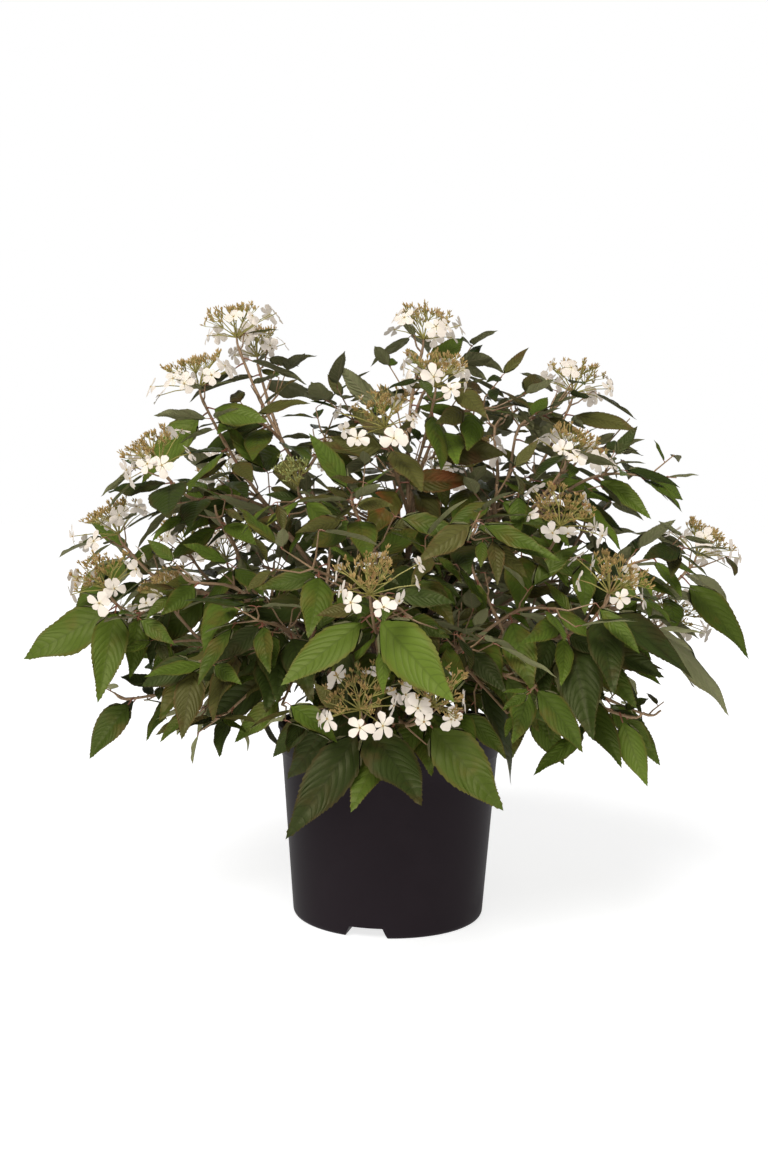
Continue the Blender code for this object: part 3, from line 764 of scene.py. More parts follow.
# %% [markdown]
# Every leaf and petal is one thin closed sheet: an upper skin and an under skin that share
# their rim. Its grid runs along the veins, which leave the midrib at a slant, so the skin can
# be pressed in along each vein and swell between two, as the real leaf does. A flat card with
# a picture would be lighter, but it has no edge, no underside and no relief. The grid is made
# once, and its points are then placed for all leaves together as arrays.

# %% The sheet that leaves and petals are cut from
UPPER, LOWER, TOOTH = range(3)
TOOTH_AT = 0.8


class Sheet:
    """A grid of stations along a blade and columns across it, with an upper and under skin."""

    def __init__(self, stations, columns, outline, slant, toothed):
        self.stations = stations
        self.outline = np.array(outline)
        blade, across, station, level = [], [], [], []

        def point(t, u, i, kind):
            blade.append(t)
            across.append(u)
            station.append(i / stations)
            level.append(kind)
            return len(blade) - 1

        def slanted(i, u):
            # The slant grows from the foot and fades out at the tip, where the blade ends.
            t = i / stations
            lean = slant * (0.20 + 0.80 * math.sin(math.pi * min(1.0, 1.15 * t)))
            return t + lean * abs(u) ** 1.2 * (1 - t)

        upper = {}
        lower = {}
        for i in range(stations):
            for j in range(-columns, columns + 1):
                u = j / columns
                upper[i, j] = point(slanted(i, u), u, i, UPPER)
                rim = i == 0 or abs(j) == columns
                lower[i, j] = upper[i, j] if rim else point(slanted(i, u), u, i, LOWER)
        tip = point(1.0, 0.0, stations, UPPER)
        self.upper_faces, self.lower_faces = [], []

        def face(a, b, c):
            self.upper_faces.append([upper.get(k, k) for k in (a, b, c)])
            self.lower_faces.append([lower.get(k, k) for k in (a, c, b)])

        def tooth_point(i, rim):
            """The point of a tooth between two stations of the rim, nearer to the one ahead."""
            near, far = blade[upper[i, rim]], blade[upper[i + 1, rim]]
            return point(near + (far - near) * TOOTH_AT, math.copysign(1.0, rim), i + TOOTH_AT, TOOTH)

        for i in range(stations):
            for j in range(-columns, columns):
                here, beside, ahead, across_it = (i, j), (i, j + 1), (i + 1, j + 1), (i + 1, j)
                if i == stations - 1:
                    face(here, beside, tip)
                elif toothed and j == columns - 1:
                    tooth = tooth_point(i, columns)
                    face(here, beside, tooth)
                    face(here, tooth, ahead)
                    face(here, ahead, across_it)
                elif toothed and j == -columns:
                    tooth = tooth_point(i, -columns)
                    face(beside, ahead, across_it)
                    face(beside, across_it, tooth)
                    face(beside, tooth, here)
                else:
                    face(here, beside, ahead)
                    face(here, ahead, across_it)
        self.t = np.array(blade)
        self.u = np.array(across)
        self.v = np.array(station)
        self.level = np.array(level)
        self.upper_faces = np.array(self.upper_faces)
        self.lower_faces = np.array(self.lower_faces)
        self.faces = np.concatenate([self.upper_faces, self.lower_faces])

    def width(self):
        return np.interp(self.t, self.outline[:, 0], self.outline[:, 1])


LEAF_OUTLINE = [(0, 0.0), (0.04, 0.30), (0.10, 0.62), (0.18, 0.84), (0.28, 0.97), (0.38, 1.0),
                (0.50, 0.95), (0.62, 0.80), (0.74, 0.57), (0.84, 0.34), (0.91, 0.19),
                (0.96, 0.09), (1.0, 0.0)]
PETAL_OUTLINE = [(0, 0.0), (0.03, 0.22), (0.2, 0.42), (0.45, 0.82), (0.65, 1.0), (0.82, 0.92),
                 (0.93, 0.66), (1.0, 0.0)]
leaf_sheet = Sheet(20, 4, LEAF_OUTLINE, 0.52, True)
young_sheet = Sheet(12, 2, LEAF_OUTLINE, 0.45, True)
petal_sheet = Sheet(6, 2, PETAL_OUTLINE, 0.10, False)
print("faces a leaf, a young leaf, a petal:", len(leaf_sheet.faces), len(young_sheet.faces),
      len(petal_sheet.faces))

# %% Sheets bent and placed
Blade = namedtuple("Blade", "root axis face length stalk arch half fold curl twist bend wave tone tint")


def column(values):
    return np.array(values, dtype=np.float64)[:, None]


def placed_sheets(sheet, blades, pleat, groove, thickness, tooth):
    """The points of many sheets, one row a sheet, bent as each blade says."""
    field = {key: column([getattr(blade, key) for blade in blades])
             for key in ("length", "stalk", "arch", "half", "fold", "curl", "twist", "bend", "wave")}
    t, u, v, level = (row[None, :] for row in (sheet.t, sheet.u, sheet.v, sheet.level))
    width = sheet.width()[None, :]
    span = np.abs(u)
    length = field["length"]
    half = field["half"] * length
    y = u * width * half
    y = y + np.sign(u) * np.where(level == TOOTH, tooth * length, 0.0)
    across = span * width
    z = field["fold"] * across * half - field["curl"] * half * across ** 2.2
    ridge = -np.cos(math.pi * sheet.stations * v) * np.sin(math.pi * span ** 0.8) * width
    z = z + pleat * length * ridge
    z = z + field["wave"] * half * span * np.sin(2 * math.pi * (2.3 * t + 0.5 * np.sign(u)))
    midrib = groove * length * (span < 0.01) * (1 - t)
    z = z - midrib
    z = z - np.where(level == LOWER, thickness + 0.6 * midrib, 0.0)
    x = field["stalk"] * length + t * length * (1 - field["stalk"])
    share = x / length
    y = y + field["bend"] * length * t * t
    turn = field["twist"] * t * t
    y, z = y * np.cos(turn) - z * np.sin(turn), y * np.sin(turn) + z * np.cos(turn)
    z = z - field["arch"] * length * share * share
    root, axis, face = (np.array([getattr(blade, key) for blade in blades])[:, None, :]
                        for key in ("root", "axis", "face"))
    side = np.cross(axis, face)
    return root + axis * x[..., None] + side * y[..., None] + face * z[..., None]


def sheet_cells(sheet, count):
    """Where each face corner lies in a square chart that gives each sheet its own cell.

    The left half of a cell holds the upper skin, and the right half the lower one.
    """
    grid = math.ceil(math.sqrt(count))
    flat = (0.5 + 0.46 * sheet.u * sheet.width()) * 0.5
    corners = []
    for faces, shift in ((sheet.upper_faces, 0.0), (sheet.lower_faces, 0.5)):
        ids = faces.ravel()
        corners.append(np.stack([flat[ids] + shift, 0.03 + 0.94 * sheet.t[ids]], axis=1))
    one = np.concatenate(corners)
    cells = np.array([(i % grid, i // grid) for i in range(count)], dtype=np.float64)
    return ((one[None, :, :] + cells[:, None, :]) / grid).reshape(-1, 2)


def smoothed(mesh, degrees):
    """Shades a mesh smooth, but for edges that bend more than some degrees."""
    mesh.shade_smooth()
    mesh.set_sharp_from_angle(angle=math.radians(degrees))
    mesh.update()


def sheet_object(name, sheet, blades, materials, pleat, thickness, groove=0.0, tooth=0.0):
    """One joined mesh of many sheets, with a chart, the veins' own chart and a tone."""
    points = placed_sheets(sheet, blades, pleat, groove, thickness, tooth)
    count, size = points.shape[:2]
    faces = (sheet.faces[None] + (np.arange(count) * size)[:, None, None]).reshape(-1, 3)
    mesh = bpy.data.meshes.new(name)
    mesh.from_pydata(points.reshape(-1, 3), [], faces)
    chart = mesh.uv_layers.new(name="OFBake")
    chart.data.foreach_set("uv", sheet_cells(sheet, count).ravel())
    veins = mesh.uv_layers.new(name="veins")
    ids = sheet.faces.ravel()
    own = np.stack([0.5 + 0.5 * sheet.u[ids], sheet.v[ids]], axis=1)
    veins.data.foreach_set("uv", np.tile(own, (count, 1)).ravel())
    tone = mesh.attributes.new("tone", "FLOAT", "POINT")
    tone.data.foreach_set("value", np.repeat([blade.tone for blade in blades], size))
    upper = len(sheet.upper_faces)
    index = np.zeros((count, len(sheet.faces)), dtype=np.int32)
    for row, blade in enumerate(blades):
        index[row, :upper] = blade.tint[0]
        index[row, upper:] = blade.tint[1]
    mesh.polygons.foreach_set("material_index", index.ravel())
    for material in materials:
        mesh.materials.append(material)
    smoothed(mesh, 65)
    return shown(name, mesh)


print("each blade is bent by", len(Blade._fields) - 5, "of its", len(Blade._fields), "values")

# %% [markdown]
# Limbs are tubes swept along smooth curves through the growth rule's points. Old wood has
# bark, so the skins of the stem and boughs are pushed in and out by a few waves that run
# round and along the limb. Twigs swell a little at each pair of leaves.

# %% Limbs
def rounded(points, steps):
    """A curve through all points, with a few steps between each two."""
    ends = [points[0] * 2 - points[1]] + list(points) + [points[-1] * 2 - points[-2]]
    curve = []
    for i in range(1, len(ends) - 2):
        a, b, c, d = ends[i - 1:i + 3]
        for k in range(steps):
            t = k / steps
            curve.append((b * 2 + (c - a) * t + (a * 2 - b * 5 + c * 4 - d) * t * t
                          + (b * 3 - a - c * 3 + d) * t ** 3) * 0.5)
    curve.append(points[-1])
    return curve


def joined_object(name, solids, material, smooth=True):
    """One mesh from many closed solids, each given as vertices and faces."""
    vertices, faces = [], []
    for points, polygons in solids:
        start = len(vertices)
        vertices.extend(points)
        faces.extend(tuple(start + k for k in polygon) for polygon in polygons)
    mesh = bpy.data.meshes.new(name)
    mesh.from_pydata([tuple(v) for v in vertices], [], faces)
    mesh.materials.append(material)
    if smooth:
        smoothed(mesh, 60)
    return shown(name, mesh)


def knotted(radii, steps, swell):
    """Radii for a rounded curve: tapered between nodes, a little thicker at each."""
    found = []
    for i in range(len(radii) - 1):
        for k in range(steps):
            t = k / steps
            base = radii[i] + (radii[i + 1] - radii[i]) * t
            found.append(base * (1 + (swell if k == 0 and i else 0.0)))
    found.append(radii[-1])
    return found


def bark_tube(points, radii, sides, rng, depth):
    """A limb with long ridges and pits in its bark."""
    phases = [rng.uniform(0, 2 * math.pi) for _ in range(4)]
    vertices, faces = tube(points, radii, sides)
    along = tangents(points)
    rough = []
    for index, vertex in enumerate(vertices):
        ring, k = divmod(index, sides)
        angle = 2 * math.pi * k / sides
        wave = (math.sin(3 * angle + phases[0] + ring * 0.35) * 0.5
                + math.sin(5 * angle + phases[1] - ring * 0.21) * 0.3
                + math.sin(ring * 1.9 + 2 * angle + phases[2]) * 0.4
                + math.sin(ring * 0.8 + phases[3]) * 0.5)
        away = square_to(along[ring], vertex - points[ring])
        rough.append(vertex + away * wave * depth)
    return rough, faces


print("a curve through 3 points in steps of 4 has", len(rounded([Vector(), UP, UP * 2], 4)), "points")

# %% [markdown]
# Finishes. One shader node group does each effect that several materials share: the veins of
# a leaf, drifting blotches of a second colour, and a fine grain for relief. A group has named
# inputs, so each material uses it with its own values. The shader itself stays in the
# material. Everything is procedural, so it works at any distance and needs no pictures.

# %% Helpers for shader nodes
def new_group(name, inputs, outputs):
    """An empty node group whose sockets are all plain numbers."""
    tree = bpy.data.node_groups.new(name, "ShaderNodeTree")
    for label, value in inputs.items():
        socket = tree.interface.new_socket(label, in_out="INPUT", socket_type="NodeSocketFloat")
        socket.default_value = value
    for label in outputs:
        tree.interface.new_socket(label, in_out="OUTPUT", socket_type="NodeSocketFloat")
    return tree, tree.nodes.new("NodeGroupInput").outputs, tree.nodes.new("NodeGroupOutput").inputs


def feed(tree, socket, value):
    """Sets a socket to a value, or links it to another node's output."""
    if isinstance(value, bpy.types.NodeSocket):
        tree.links.new(value, socket)
    else:
        socket.default_value = value


def add_node(tree, kind, settings=None, **values):
    """A node with its settings, and values or links for the inputs i0, i1 and so on."""
    node = tree.nodes.new(kind)
    for key, value in (settings or {}).items():
        setattr(node, key, value)
    for key, value in values.items():
        feed(tree, node.inputs[int(key[1:])], value)
    return node


def calculated(tree, operation, a, b=0.0):
    return add_node(tree, "ShaderNodeMath", {"operation": operation}, i0=a, i1=b).outputs[0]


def times(tree, a, b):
    return calculated(tree, "MULTIPLY", a, b)


def ranged(tree, value, low, high, out_low=0.0, out_high=1.0):
    node = add_node(tree, "ShaderNodeMapRange", {"interpolation_type": "SMOOTHSTEP"},
                    i0=value, i1=low, i2=high, i3=out_low, i4=out_high)
    return node.outputs[0]


def blended(tree, share, first, second):
    """A mix of two colours; a colour may be three numbers or a link."""
    first, second = ((*colour, 1.0) if isinstance(colour, tuple) else colour
                     for colour in (first, second))
    node = add_node(tree, "ShaderNodeMix", {"data_type": "RGBA"}, i0=share, i6=first, i7=second)
    return node.outputs[2]


def layered(tree, base, colour, mask, share):
    """A second colour laid over a base, by a share of a mask."""
    return blended(tree, times(tree, mask, share), base, colour)


def texture_place(tree):
    return add_node(tree, "ShaderNodeTexCoord").outputs["Object"]


print("node helpers:", [made.__name__ for made in (calculated, times, ranged, blended, layered)])

# %% Shared effects as node groups
def veins_group():
    """Masks of a leaf's veins and rim, and how the skin swells between two veins."""
    tree, given, result = new_group("leaf_veins", {"Across": 0.5, "Along": 0.0, "Pairs": 10.0, "Width": 0.12},
                                    ["Mask", "Rim", "Swell"])
    near = calculated(tree, "PINGPONG", times(tree, given["Along"], given["Pairs"]), 0.5)
    lines = ranged(tree, near, 0.0, given["Width"], 1.0, 0.0)
    off = calculated(tree, "ABSOLUTE", calculated(tree, "SUBTRACT", given["Across"], 0.5))
    midrib = ranged(tree, off, 0.012, 0.045, 1.0, 0.0)
    feed(tree, result["Mask"], calculated(tree, "MAXIMUM", lines, midrib))
    feed(tree, result["Swell"], calculated(tree, "POWER", times(tree, near, 2.0), 0.6))
    feed(tree, result["Rim"], ranged(tree, off, 0.40, 0.50))
    return tree


def blotch_group():
    """A soft mask of drifting blotches."""
    tree, given, result = new_group("blotches", {"Scale": 30.0, "Cover": 0.5}, ["Mask"])
    clouds = add_node(tree, "ShaderNodeTexNoise", i0=texture_place(tree), i2=given["Scale"], i3=3.0)
    low = calculated(tree, "SUBTRACT", 0.86, times(tree, given["Cover"], 0.6))
    high = calculated(tree, "ADD", low, 0.22)
    feed(tree, result["Mask"], ranged(tree, clouds.outputs[0], low, high))
    return tree


def grain_group():
    """A fine uneven height for bump, drawn out along one direction by Stretch."""
    tree, given, result = new_group("grain", {"Scale": 900.0, "Stretch": 1.0}, ["Height"])
    parts = add_node(tree, "ShaderNodeSeparateXYZ", i0=texture_place(tree)).outputs
    drawn = calculated(tree, "DIVIDE", parts[2], given["Stretch"])
    place = add_node(tree, "ShaderNodeCombineXYZ", i0=parts[0], i1=parts[1], i2=drawn).outputs[0]
    clouds = add_node(tree, "ShaderNodeTexNoise", i0=place, i2=given["Scale"], i3=4.0)
    feed(tree, result["Height"], clouds.outputs[0])
    return tree


VEINS = veins_group()
BLOTCHES = blotch_group()
GRAIN = grain_group()


def grouped(tree, group, **values):
    """A shared effect placed in a material, with the material's own values."""
    node = tree.nodes.new("ShaderNodeGroup")
    node.node_tree = group
    for key, value in values.items():
        feed(tree, node.inputs[key], value)
    return node.outputs


def new_material(name, roughness):
    """A plain material, its node tree and the inputs of its shader."""
    made = bpy.data.materials.new(name)
    made.use_nodes = True
    shader = made.node_tree.nodes["Principled BSDF"].inputs
    shader["Roughness"].default_value = roughness
    return made, made.node_tree, shader


def finish(tree, shader, base, height, strength, distance):
    """Gives a material's shader its base colour and its relief."""
    feed(tree, shader["Base Color"], base)
    bump = tree.nodes.new("ShaderNodeBump")
    bump.inputs["Strength"].default_value = strength
    bump.inputs["Distance"].default_value = distance
    feed(tree, bump.inputs["Height"], height)
    feed(tree, shader["Normal"], bump.outputs[0])


def set_gloss(shader, level, tint):
    shader["Specular IOR Level"].default_value = level
    shader["Specular Tint"].default_value = (*tint, 1.0)


def set_glow(shader, colour, strength):
    shader["Emission Color"].default_value = (*colour, 1.0)
    shader["Emission Strength"].default_value = strength


def vein_chart(tree):
    """How far across a leaf or petal a point lies, and how far along its slanted veins."""
    chart = add_node(tree, "ShaderNodeUVMap", {"uv_map": "veins"}).outputs[0]
    return add_node(tree, "ShaderNodeSeparateXYZ", i0=chart).outputs


print("groups", [group.name for group in (VEINS, BLOTCHES, GRAIN)])

# %% [markdown]
# The leaves are not one green. Each spray has its own: mid green, a dark green that is painted
# shade, a light green that is partly young growth and partly painted light, a bronze that comes
# with cool nights, and now and then a flush of red. Each tint is a plain colour of its own
# material, and the node groups add veins, blotches and a rim. The underside is dull and
# grey-green, with paler raised veins.

# %% Leaf finishes
VEIN_PAIRS = 10.0
VEIN_WIDTH = 0.13
BLOTCH_SCALE = 38.0
LEAF_DARKEST, LEAF_LIGHTEST = 0.70, 1.35
LEAF_GLOSS = 0.20
LEAF_GLOSS_TINT = (1.0, 0.92, 0.55)

Tint = namedtuple("Tint", "colour vein blotch rim cover vein_share rim_share roughness",
                  defaults=(0.36, 0.34, 0.47))


def leaf_material(name, tint):
    """A leaf's skin: its colour by leaf, then blotches, a rim and veins laid over it."""
    made, tree, shader = new_material(name, tint.roughness)
    across, along, _ = vein_chart(tree)
    tone = add_node(tree, "ShaderNodeAttribute", {"attribute_name": "tone"}).outputs["Fac"]
    masks = grouped(tree, VEINS, Across=across, Along=along, Pairs=VEIN_PAIRS, Width=VEIN_WIDTH)
    spots = grouped(tree, BLOTCHES, Scale=BLOTCH_SCALE, Cover=tint.cover)["Mask"]
    dark, light = (tuple(share * part for part in tint.colour) for share in (LEAF_DARKEST, LEAF_LIGHTEST))
    base = blended(tree, tone, dark, light)
    base = layered(tree, base, tint.blotch, spots, 0.6)
    base = layered(tree, base, tint.rim, masks["Rim"], tint.rim_share)
    base = layered(tree, base, tint.vein, masks["Mask"], tint.vein_share)
    grain = grouped(tree, GRAIN, Scale=1400.0, Stretch=1.0)["Height"]
    height = calculated(tree, "ADD", masks["Swell"], times(tree, grain, 0.25))
    finish(tree, shader, base, height, 0.6, 0.0006)
    set_gloss(shader, LEAF_GLOSS, LEAF_GLOSS_TINT)
    return made


LEAF_TINTS = {
    "mid": Tint((0.050, 0.076, 0.009), vein=(0.024, 0.036, 0.006), blotch=(0.088, 0.058, 0.012),
                rim=(0.105, 0.045, 0.016), cover=0.60),
    # The dark green is painted shade: a darker copy of the mid green, with darker veins, blotches and rim.
    "painted_shade": Tint((0.022, 0.033, 0.006), vein=(0.010, 0.014, 0.004), blotch=(0.042, 0.027, 0.008),
                 rim=(0.056, 0.024, 0.010), cover=0.60),
    # The light green is partly young growth and partly painted light: a lighter copy of the mid green, dealt
    # most often high in the crown.
    "bright": Tint((0.064, 0.094, 0.011), vein=(0.036, 0.052, 0.008), blotch=(0.098, 0.078, 0.014),
                   rim=(0.115, 0.056, 0.016), cover=0.50),
    "bronze": Tint((0.060, 0.058, 0.014), vein=(0.030, 0.024, 0.008), blotch=(0.085, 0.038, 0.016),
                   rim=(0.105, 0.036, 0.015), cover=0.60),
    "flush": Tint((0.075, 0.072, 0.012), vein=(0.060, 0.034, 0.010), blotch=(0.250, 0.052, 0.020),
                  rim=(0.200, 0.045, 0.016), cover=0.62),
    "underside": Tint((0.195, 0.200, 0.095), vein=(0.250, 0.215, 0.120), blotch=(0.150, 0.110, 0.060),
                      rim=(0.150, 0.090, 0.048), cover=0.4, vein_share=0.6, rim_share=0.3, roughness=0.75),
}
TINT_NAMES = list(LEAF_TINTS)
UNDERSIDE = TINT_NAMES.index("underside")
leaf_finishes = [leaf_material("leaf_" + name, tint) for name, tint in LEAF_TINTS.items()]
print("leaf finishes", TINT_NAMES)

# %% Bark, twig, petal and bud finishes
Wood = namedtuple("Wood", "colour second cover spot_scale grain_scale stretch depth roughness")
WOODS = {
    "old_bark": Wood((0.120, 0.072, 0.045), (0.200, 0.150, 0.110), 0.5, 60.0, 420.0, 5.0, 0.0012, 0.85),
    "young_bark": Wood((0.270, 0.168, 0.088), (0.205, 0.088, 0.048), 0.45, 45.0, 900.0, 4.0, 0.0005, 0.62),
    "leaf_stalk": Wood((0.215, 0.075, 0.040), (0.150, 0.120, 0.045), 0.45, 70.0, 1200.0, 3.0, 0.0003, 0.55),
    "flower_ray": Wood((0.300, 0.262, 0.062), (0.340, 0.185, 0.070), 0.5, 90.0, 1500.0, 2.0, 0.0002, 0.60),
    "flower_bud": Wood((0.370, 0.240, 0.075), (0.310, 0.130, 0.058), 0.5, 150.0, 2200.0, 1.0, 0.0002, 0.65),
    "green_bud": Wood((0.330, 0.350, 0.110), (0.400, 0.350, 0.130), 0.5, 150.0, 2200.0, 1.0, 0.0002, 0.60),
    "compost": Wood((0.030, 0.020, 0.014), (0.075, 0.048, 0.030), 0.45, 220.0, 700.0, 1.0, 0.0010, 0.95),
}
WOOD_PAINTED_SHADE = 0.4


def wood_material(name, wood):
    """A finish in two colours by blotches, with painted shade where its grain lies low."""
    made, tree, shader = new_material(name, wood.roughness)
    spots = grouped(tree, BLOTCHES, Scale=wood.spot_scale, Cover=wood.cover)["Mask"]
    grain = grouped(tree, GRAIN, Scale=wood.grain_scale, Stretch=wood.stretch)["Height"]
    base = blended(tree, spots, wood.colour, wood.second)
    # Painted shade: the finish darkens in the low parts of its grain, the pits of its bump.
    shade = ranged(tree, grain, 0.30, 0.62, 0.45, 0.0)
    base = blended(tree, shade, base, tuple(WOOD_PAINTED_SHADE * part for part in wood.colour))
    finish(tree, shader, base, grain, 0.6, wood.depth)
    return made


def petal_material():
    """Creamy white, yellow at the throat, with a faint glow for the light that comes through."""
    made, tree, shader = new_material("petal", 0.60)
    throat = ranged(tree, vein_chart(tree)[1], 0.0, 0.35, 1.0, 0.0)
    spots = grouped(tree, BLOTCHES, Scale=160.0, Cover=0.4)["Mask"]
    base = layered(tree, (0.52, 0.455, 0.38), (0.44, 0.355, 0.28), spots, 0.5)
    base = layered(tree, base, (0.52, 0.48, 0.24), throat, 0.55)
    finish(tree, shader, base, grouped(tree, GRAIN, Scale=1600.0, Stretch=1.0)["Height"], 0.15, 0.0003)
    set_glow(shader, (0.90, 0.82, 0.74), 0.21)
    return made


woods = {name: wood_material(name, wood) for name, wood in WOODS.items()}
petal_skin = petal_material()
print("other plant finishes", [*woods, petal_skin.name])

# %% [markdown]
# Leaves are dealt their tints by spray: a spray high in the crown is more often light green or
# bronze, and its light green paints light on the top of the crown; a low one is more often mid
# green or the dark green that paints shade low down. Small leaves inside are mostly dark green
# or bronze, as painted shade in the depth of the crown.

# %% Dress the leaves
# The shares of mid green, dark green (painted shade), light green (partly painted light) and
# bronze leaves, and of flushed ones.
HIGH_TINTS = [0.38, 0.04, 0.42, 0.16, 0.0]
LOW_TINTS = [0.52, 0.34, 0.05, 0.09, 0.0]
YOUNG_TINTS = [0.36, 0.24, 0.12, 0.28, 0.0]
# Small leaves near the stem take more dark green and bronze: painted shade inside the crown.
INNER_SHADE_TINTS = [0.22, 0.36, 0.0, 0.42, 0.0]
INNER_REACH = 0.14
FLUSHED = {("top_left", 3), ("top_middle", 3)}
TINT_BOTTOM, TINT_TOP = 0.28, 0.50
ODD_LEAF_CHANCE = 0.35
ODD_LEAF_SPRAY = 50
LEAF_HALF = (0.155, 0.210)
YOUNG_HALF_SHARE = 0.90


def dealt(weights, rng):
    """The number of a tint, drawn by the tints' shares."""
    return rng.choices(range(len(weights)), weights)[0]


def spray_tint(name, index, height):
    """The tint that all leaves of one shoot share, drawn by the shoot's own seed."""
    if (name, index) in FLUSHED:
        return TINT_NAMES.index("flush")
    rng = random.Random(f"{name} {index}")
    share = min(1.0, max(0.0, (height - TINT_BOTTOM) / (TINT_TOP - TINT_BOTTOM)))
    return dealt([low + (high - low) * share for low, high in zip(LOW_TINTS, HIGH_TINTS)], rng)


def leaf_blade(leaf, number):
    """A leaf's own bends and tints. About one large leaf in three takes a second tint."""
    rng = random.Random(number * 31 + 7)
    tint = spray_tint(leaf.mass, leaf.shoot, leaf.node.z)
    if leaf.young:
        # Leaves near the stem are dealt darker tints, as painted shade.
        inside = math.hypot(leaf.node.x, leaf.node.y) < INNER_REACH
        tint = dealt(INNER_SHADE_TINTS if inside else YOUNG_TINTS, rng)
    elif rng.random() < ODD_LEAF_CHANCE:
        tint = spray_tint(leaf.mass, leaf.shoot + ODD_LEAF_SPRAY, leaf.node.z)
    return Blade(
        root=leaf.root, axis=leaf.axis, face=leaf.face, length=leaf.length,
        stalk=0.09 if leaf.young else rng.uniform(0.09, 0.13), arch=leaf.arch,
        half=rng.uniform(*LEAF_HALF) * (YOUNG_HALF_SHARE if leaf.young else 1.0),
        fold=rng.uniform(0.10, 0.55), curl=rng.uniform(0.05, 0.45),
        twist=rng.uniform(-0.5, 0.5), bend=rng.uniform(-0.05, 0.05), wave=rng.uniform(0.0, 0.12),
        tone=rng.random(), tint=(tint, UNDERSIDE))


pieces = []
by_mass = {name: [] for name in shoots}
for number, leaf in enumerate(leaves):
    by_mass[leaf.mass].append((leaf, leaf_blade(leaf, number)))
for name, rows in by_mass.items():
    grown = [blade for leaf, blade in rows if not leaf.young]
    young = [blade for leaf, blade in rows if leaf.young]
    for part, sheet, blades in (("leaves_", leaf_sheet, grown), ("young_leaves_", young_sheet, young)):
        if blades:
            made = sheet_object(part + name, sheet, blades, leaf_finishes, pleat=0.0066,
                                thickness=0.0003, groove=0.008, tooth=0.009)
            pieces.append((made, "leaf", ("foliage_" + name,)))
print("leaf pieces", len(pieces), "faces", sum(len(made.data.polygons) for made, _, _ in pieces))

# %% [markdown]
# The twigs follow the growth rule's own points, rounded into curves. A blooming shoot goes on in
# a short upturned stalk below its head, and a filling shoot in the same length of bare tip. Each
# leaf hangs on a short reddish stalk. All of them are joined into two pieces, one for the
# shoots' young bark and one for the leaf stalks.

# %% Dress the twigs and leaf stalks
KNOT_DROP = 0.019
TWIG_STEPS = 4
TWIG_SIDES = 7
TWIG_KNOT = 0.30
TWIG_TIP_SHARE = 0.6
SMALL_SIDES = 5
STALK_RADIUS = 0.95 * MM
YOUNG_STALK_RADIUS = 0.5 * MM


def shoot_tube(shoot):
    whole = shoot.points
    if shoot.kind != "leaf":
        whole = whole + [whole[-1] + stalk_direction(whole) * (STALK_LENGTH - KNOT_DROP)]
    radii = knotted(taper(shoot.radius, SHOOT_TIP_RADIUS, len(whole)), TWIG_STEPS, TWIG_KNOT)
    return tube(rounded(whole, TWIG_STEPS), radii, TWIG_SIDES)


def leaf_stalk(leaf, blade):
    """A stalk that arches from the twig and runs a little way under the blade."""
    reach = blade.stalk * leaf.length
    arch = leaf.root + leaf.axis * reach * 0.5 + leaf.face * 0.5 * MM
    end = leaf.root + leaf.axis * (reach + 1.5 * MM) - leaf.face * (0.4 * MM)
    thick = YOUNG_STALK_RADIUS if leaf.young else STALK_RADIUS
    return tube([leaf.root, arch, end], [thick * 1.1, thick * 0.85, thick * 0.7], SMALL_SIDES)


twig_radii = taper(TWIG_RADIUS, TWIG_RADIUS * TWIG_TIP_SHARE, AXIL_POINTS)
twig_tubes = [shoot_tube(shoot) for found in shoots.values() for shoot in found]
twig_tubes += [tube(points, twig_radii, SMALL_SIDES) for points in twigs]
stalk_tubes = [leaf_stalk(leaf, blade) for rows in by_mass.values() for leaf, blade in rows]
foliage_nodes = tuple("foliage_" + name for name in shoots)
pieces.append((joined_object("twigs", twig_tubes, woods["young_bark"]), "bark", foliage_nodes))
pieces.append((joined_object("leaf_stalks", stalk_tubes, woods["leaf_stalk"]), "leaf", foliage_nodes))
print("twigs", len(twig_tubes), "leaf stalks", len(stalk_tubes))

# %% [markdown]
# A head is a flat umbrella. From one knot seven rays rise, each ray forks into finer rays, and
# each of those ends in a little upright brush of spiky buds. Round the margin hang a few large
# sterile florets of five rounded petals, one of them smaller. The buds are spindles that share
# one small template, so thousands of them cost little.

# %% Dress the flower heads
RAYS = 7
RAY_END = (0.50, 0.78)
MIDDLE_RAY_END = 0.06
FORK_AT = (0.50, 0.68)
FORKS = 8
FORK_LIFT_MM = (-5.0, 1.5)
FORK_SPREAD = (0.08, 0.40)
TUFT = 7
GREEN_FORKS = 5
GREEN_TUFT = 5
BUD_LONG = 0.0017
BUD_WIDE = 0.0007
BUD_GROWN = (0.7, 1.25)
BRUSH = (0.0018, 0.0052)
HEAD_CROWN = 0.008
HEAD_SPREAD = 1.22
FLORET_REACH_SHARE = (0.52, 0.84)
FLORET_DROP = (0.001, 0.014)
TWIN_ASIDE = (0.35, 0.55)
TWINS = (1, 2, 2)
PETALS = 5
PETAL_LENGTH = (0.0094, 0.0124)
PETAL_GROWN = (0.85, 1.08)
SMALL_PETAL = 0.60

BALL_POINTS = [Vector(p) for p in ((1, 0, 0), (0, 1, 0), (-1, 0, 0), (0, -1, 0), (0, 0, 1), (0, 0, -1))]
BALL_FACES = [(i, (i + 1) % 4, 4) for i in range(4)] + [((i + 1) % 4, i, 5) for i in range(4)]


def stretched_ball(centre, axis, long, wide):
    """A spindle of eight faces along an axis, for buds and chips."""
    side = unit(axis.orthogonal())
    up = axis.cross(side)
    points = [centre + side * p.x * wide + up * p.y * wide + axis * p.z * long for p in BALL_POINTS]
    return points, BALL_FACES


def ray(points, *radii_mm, sides):
    return tube(points, [radius * MM for radius in radii_mm], sides)


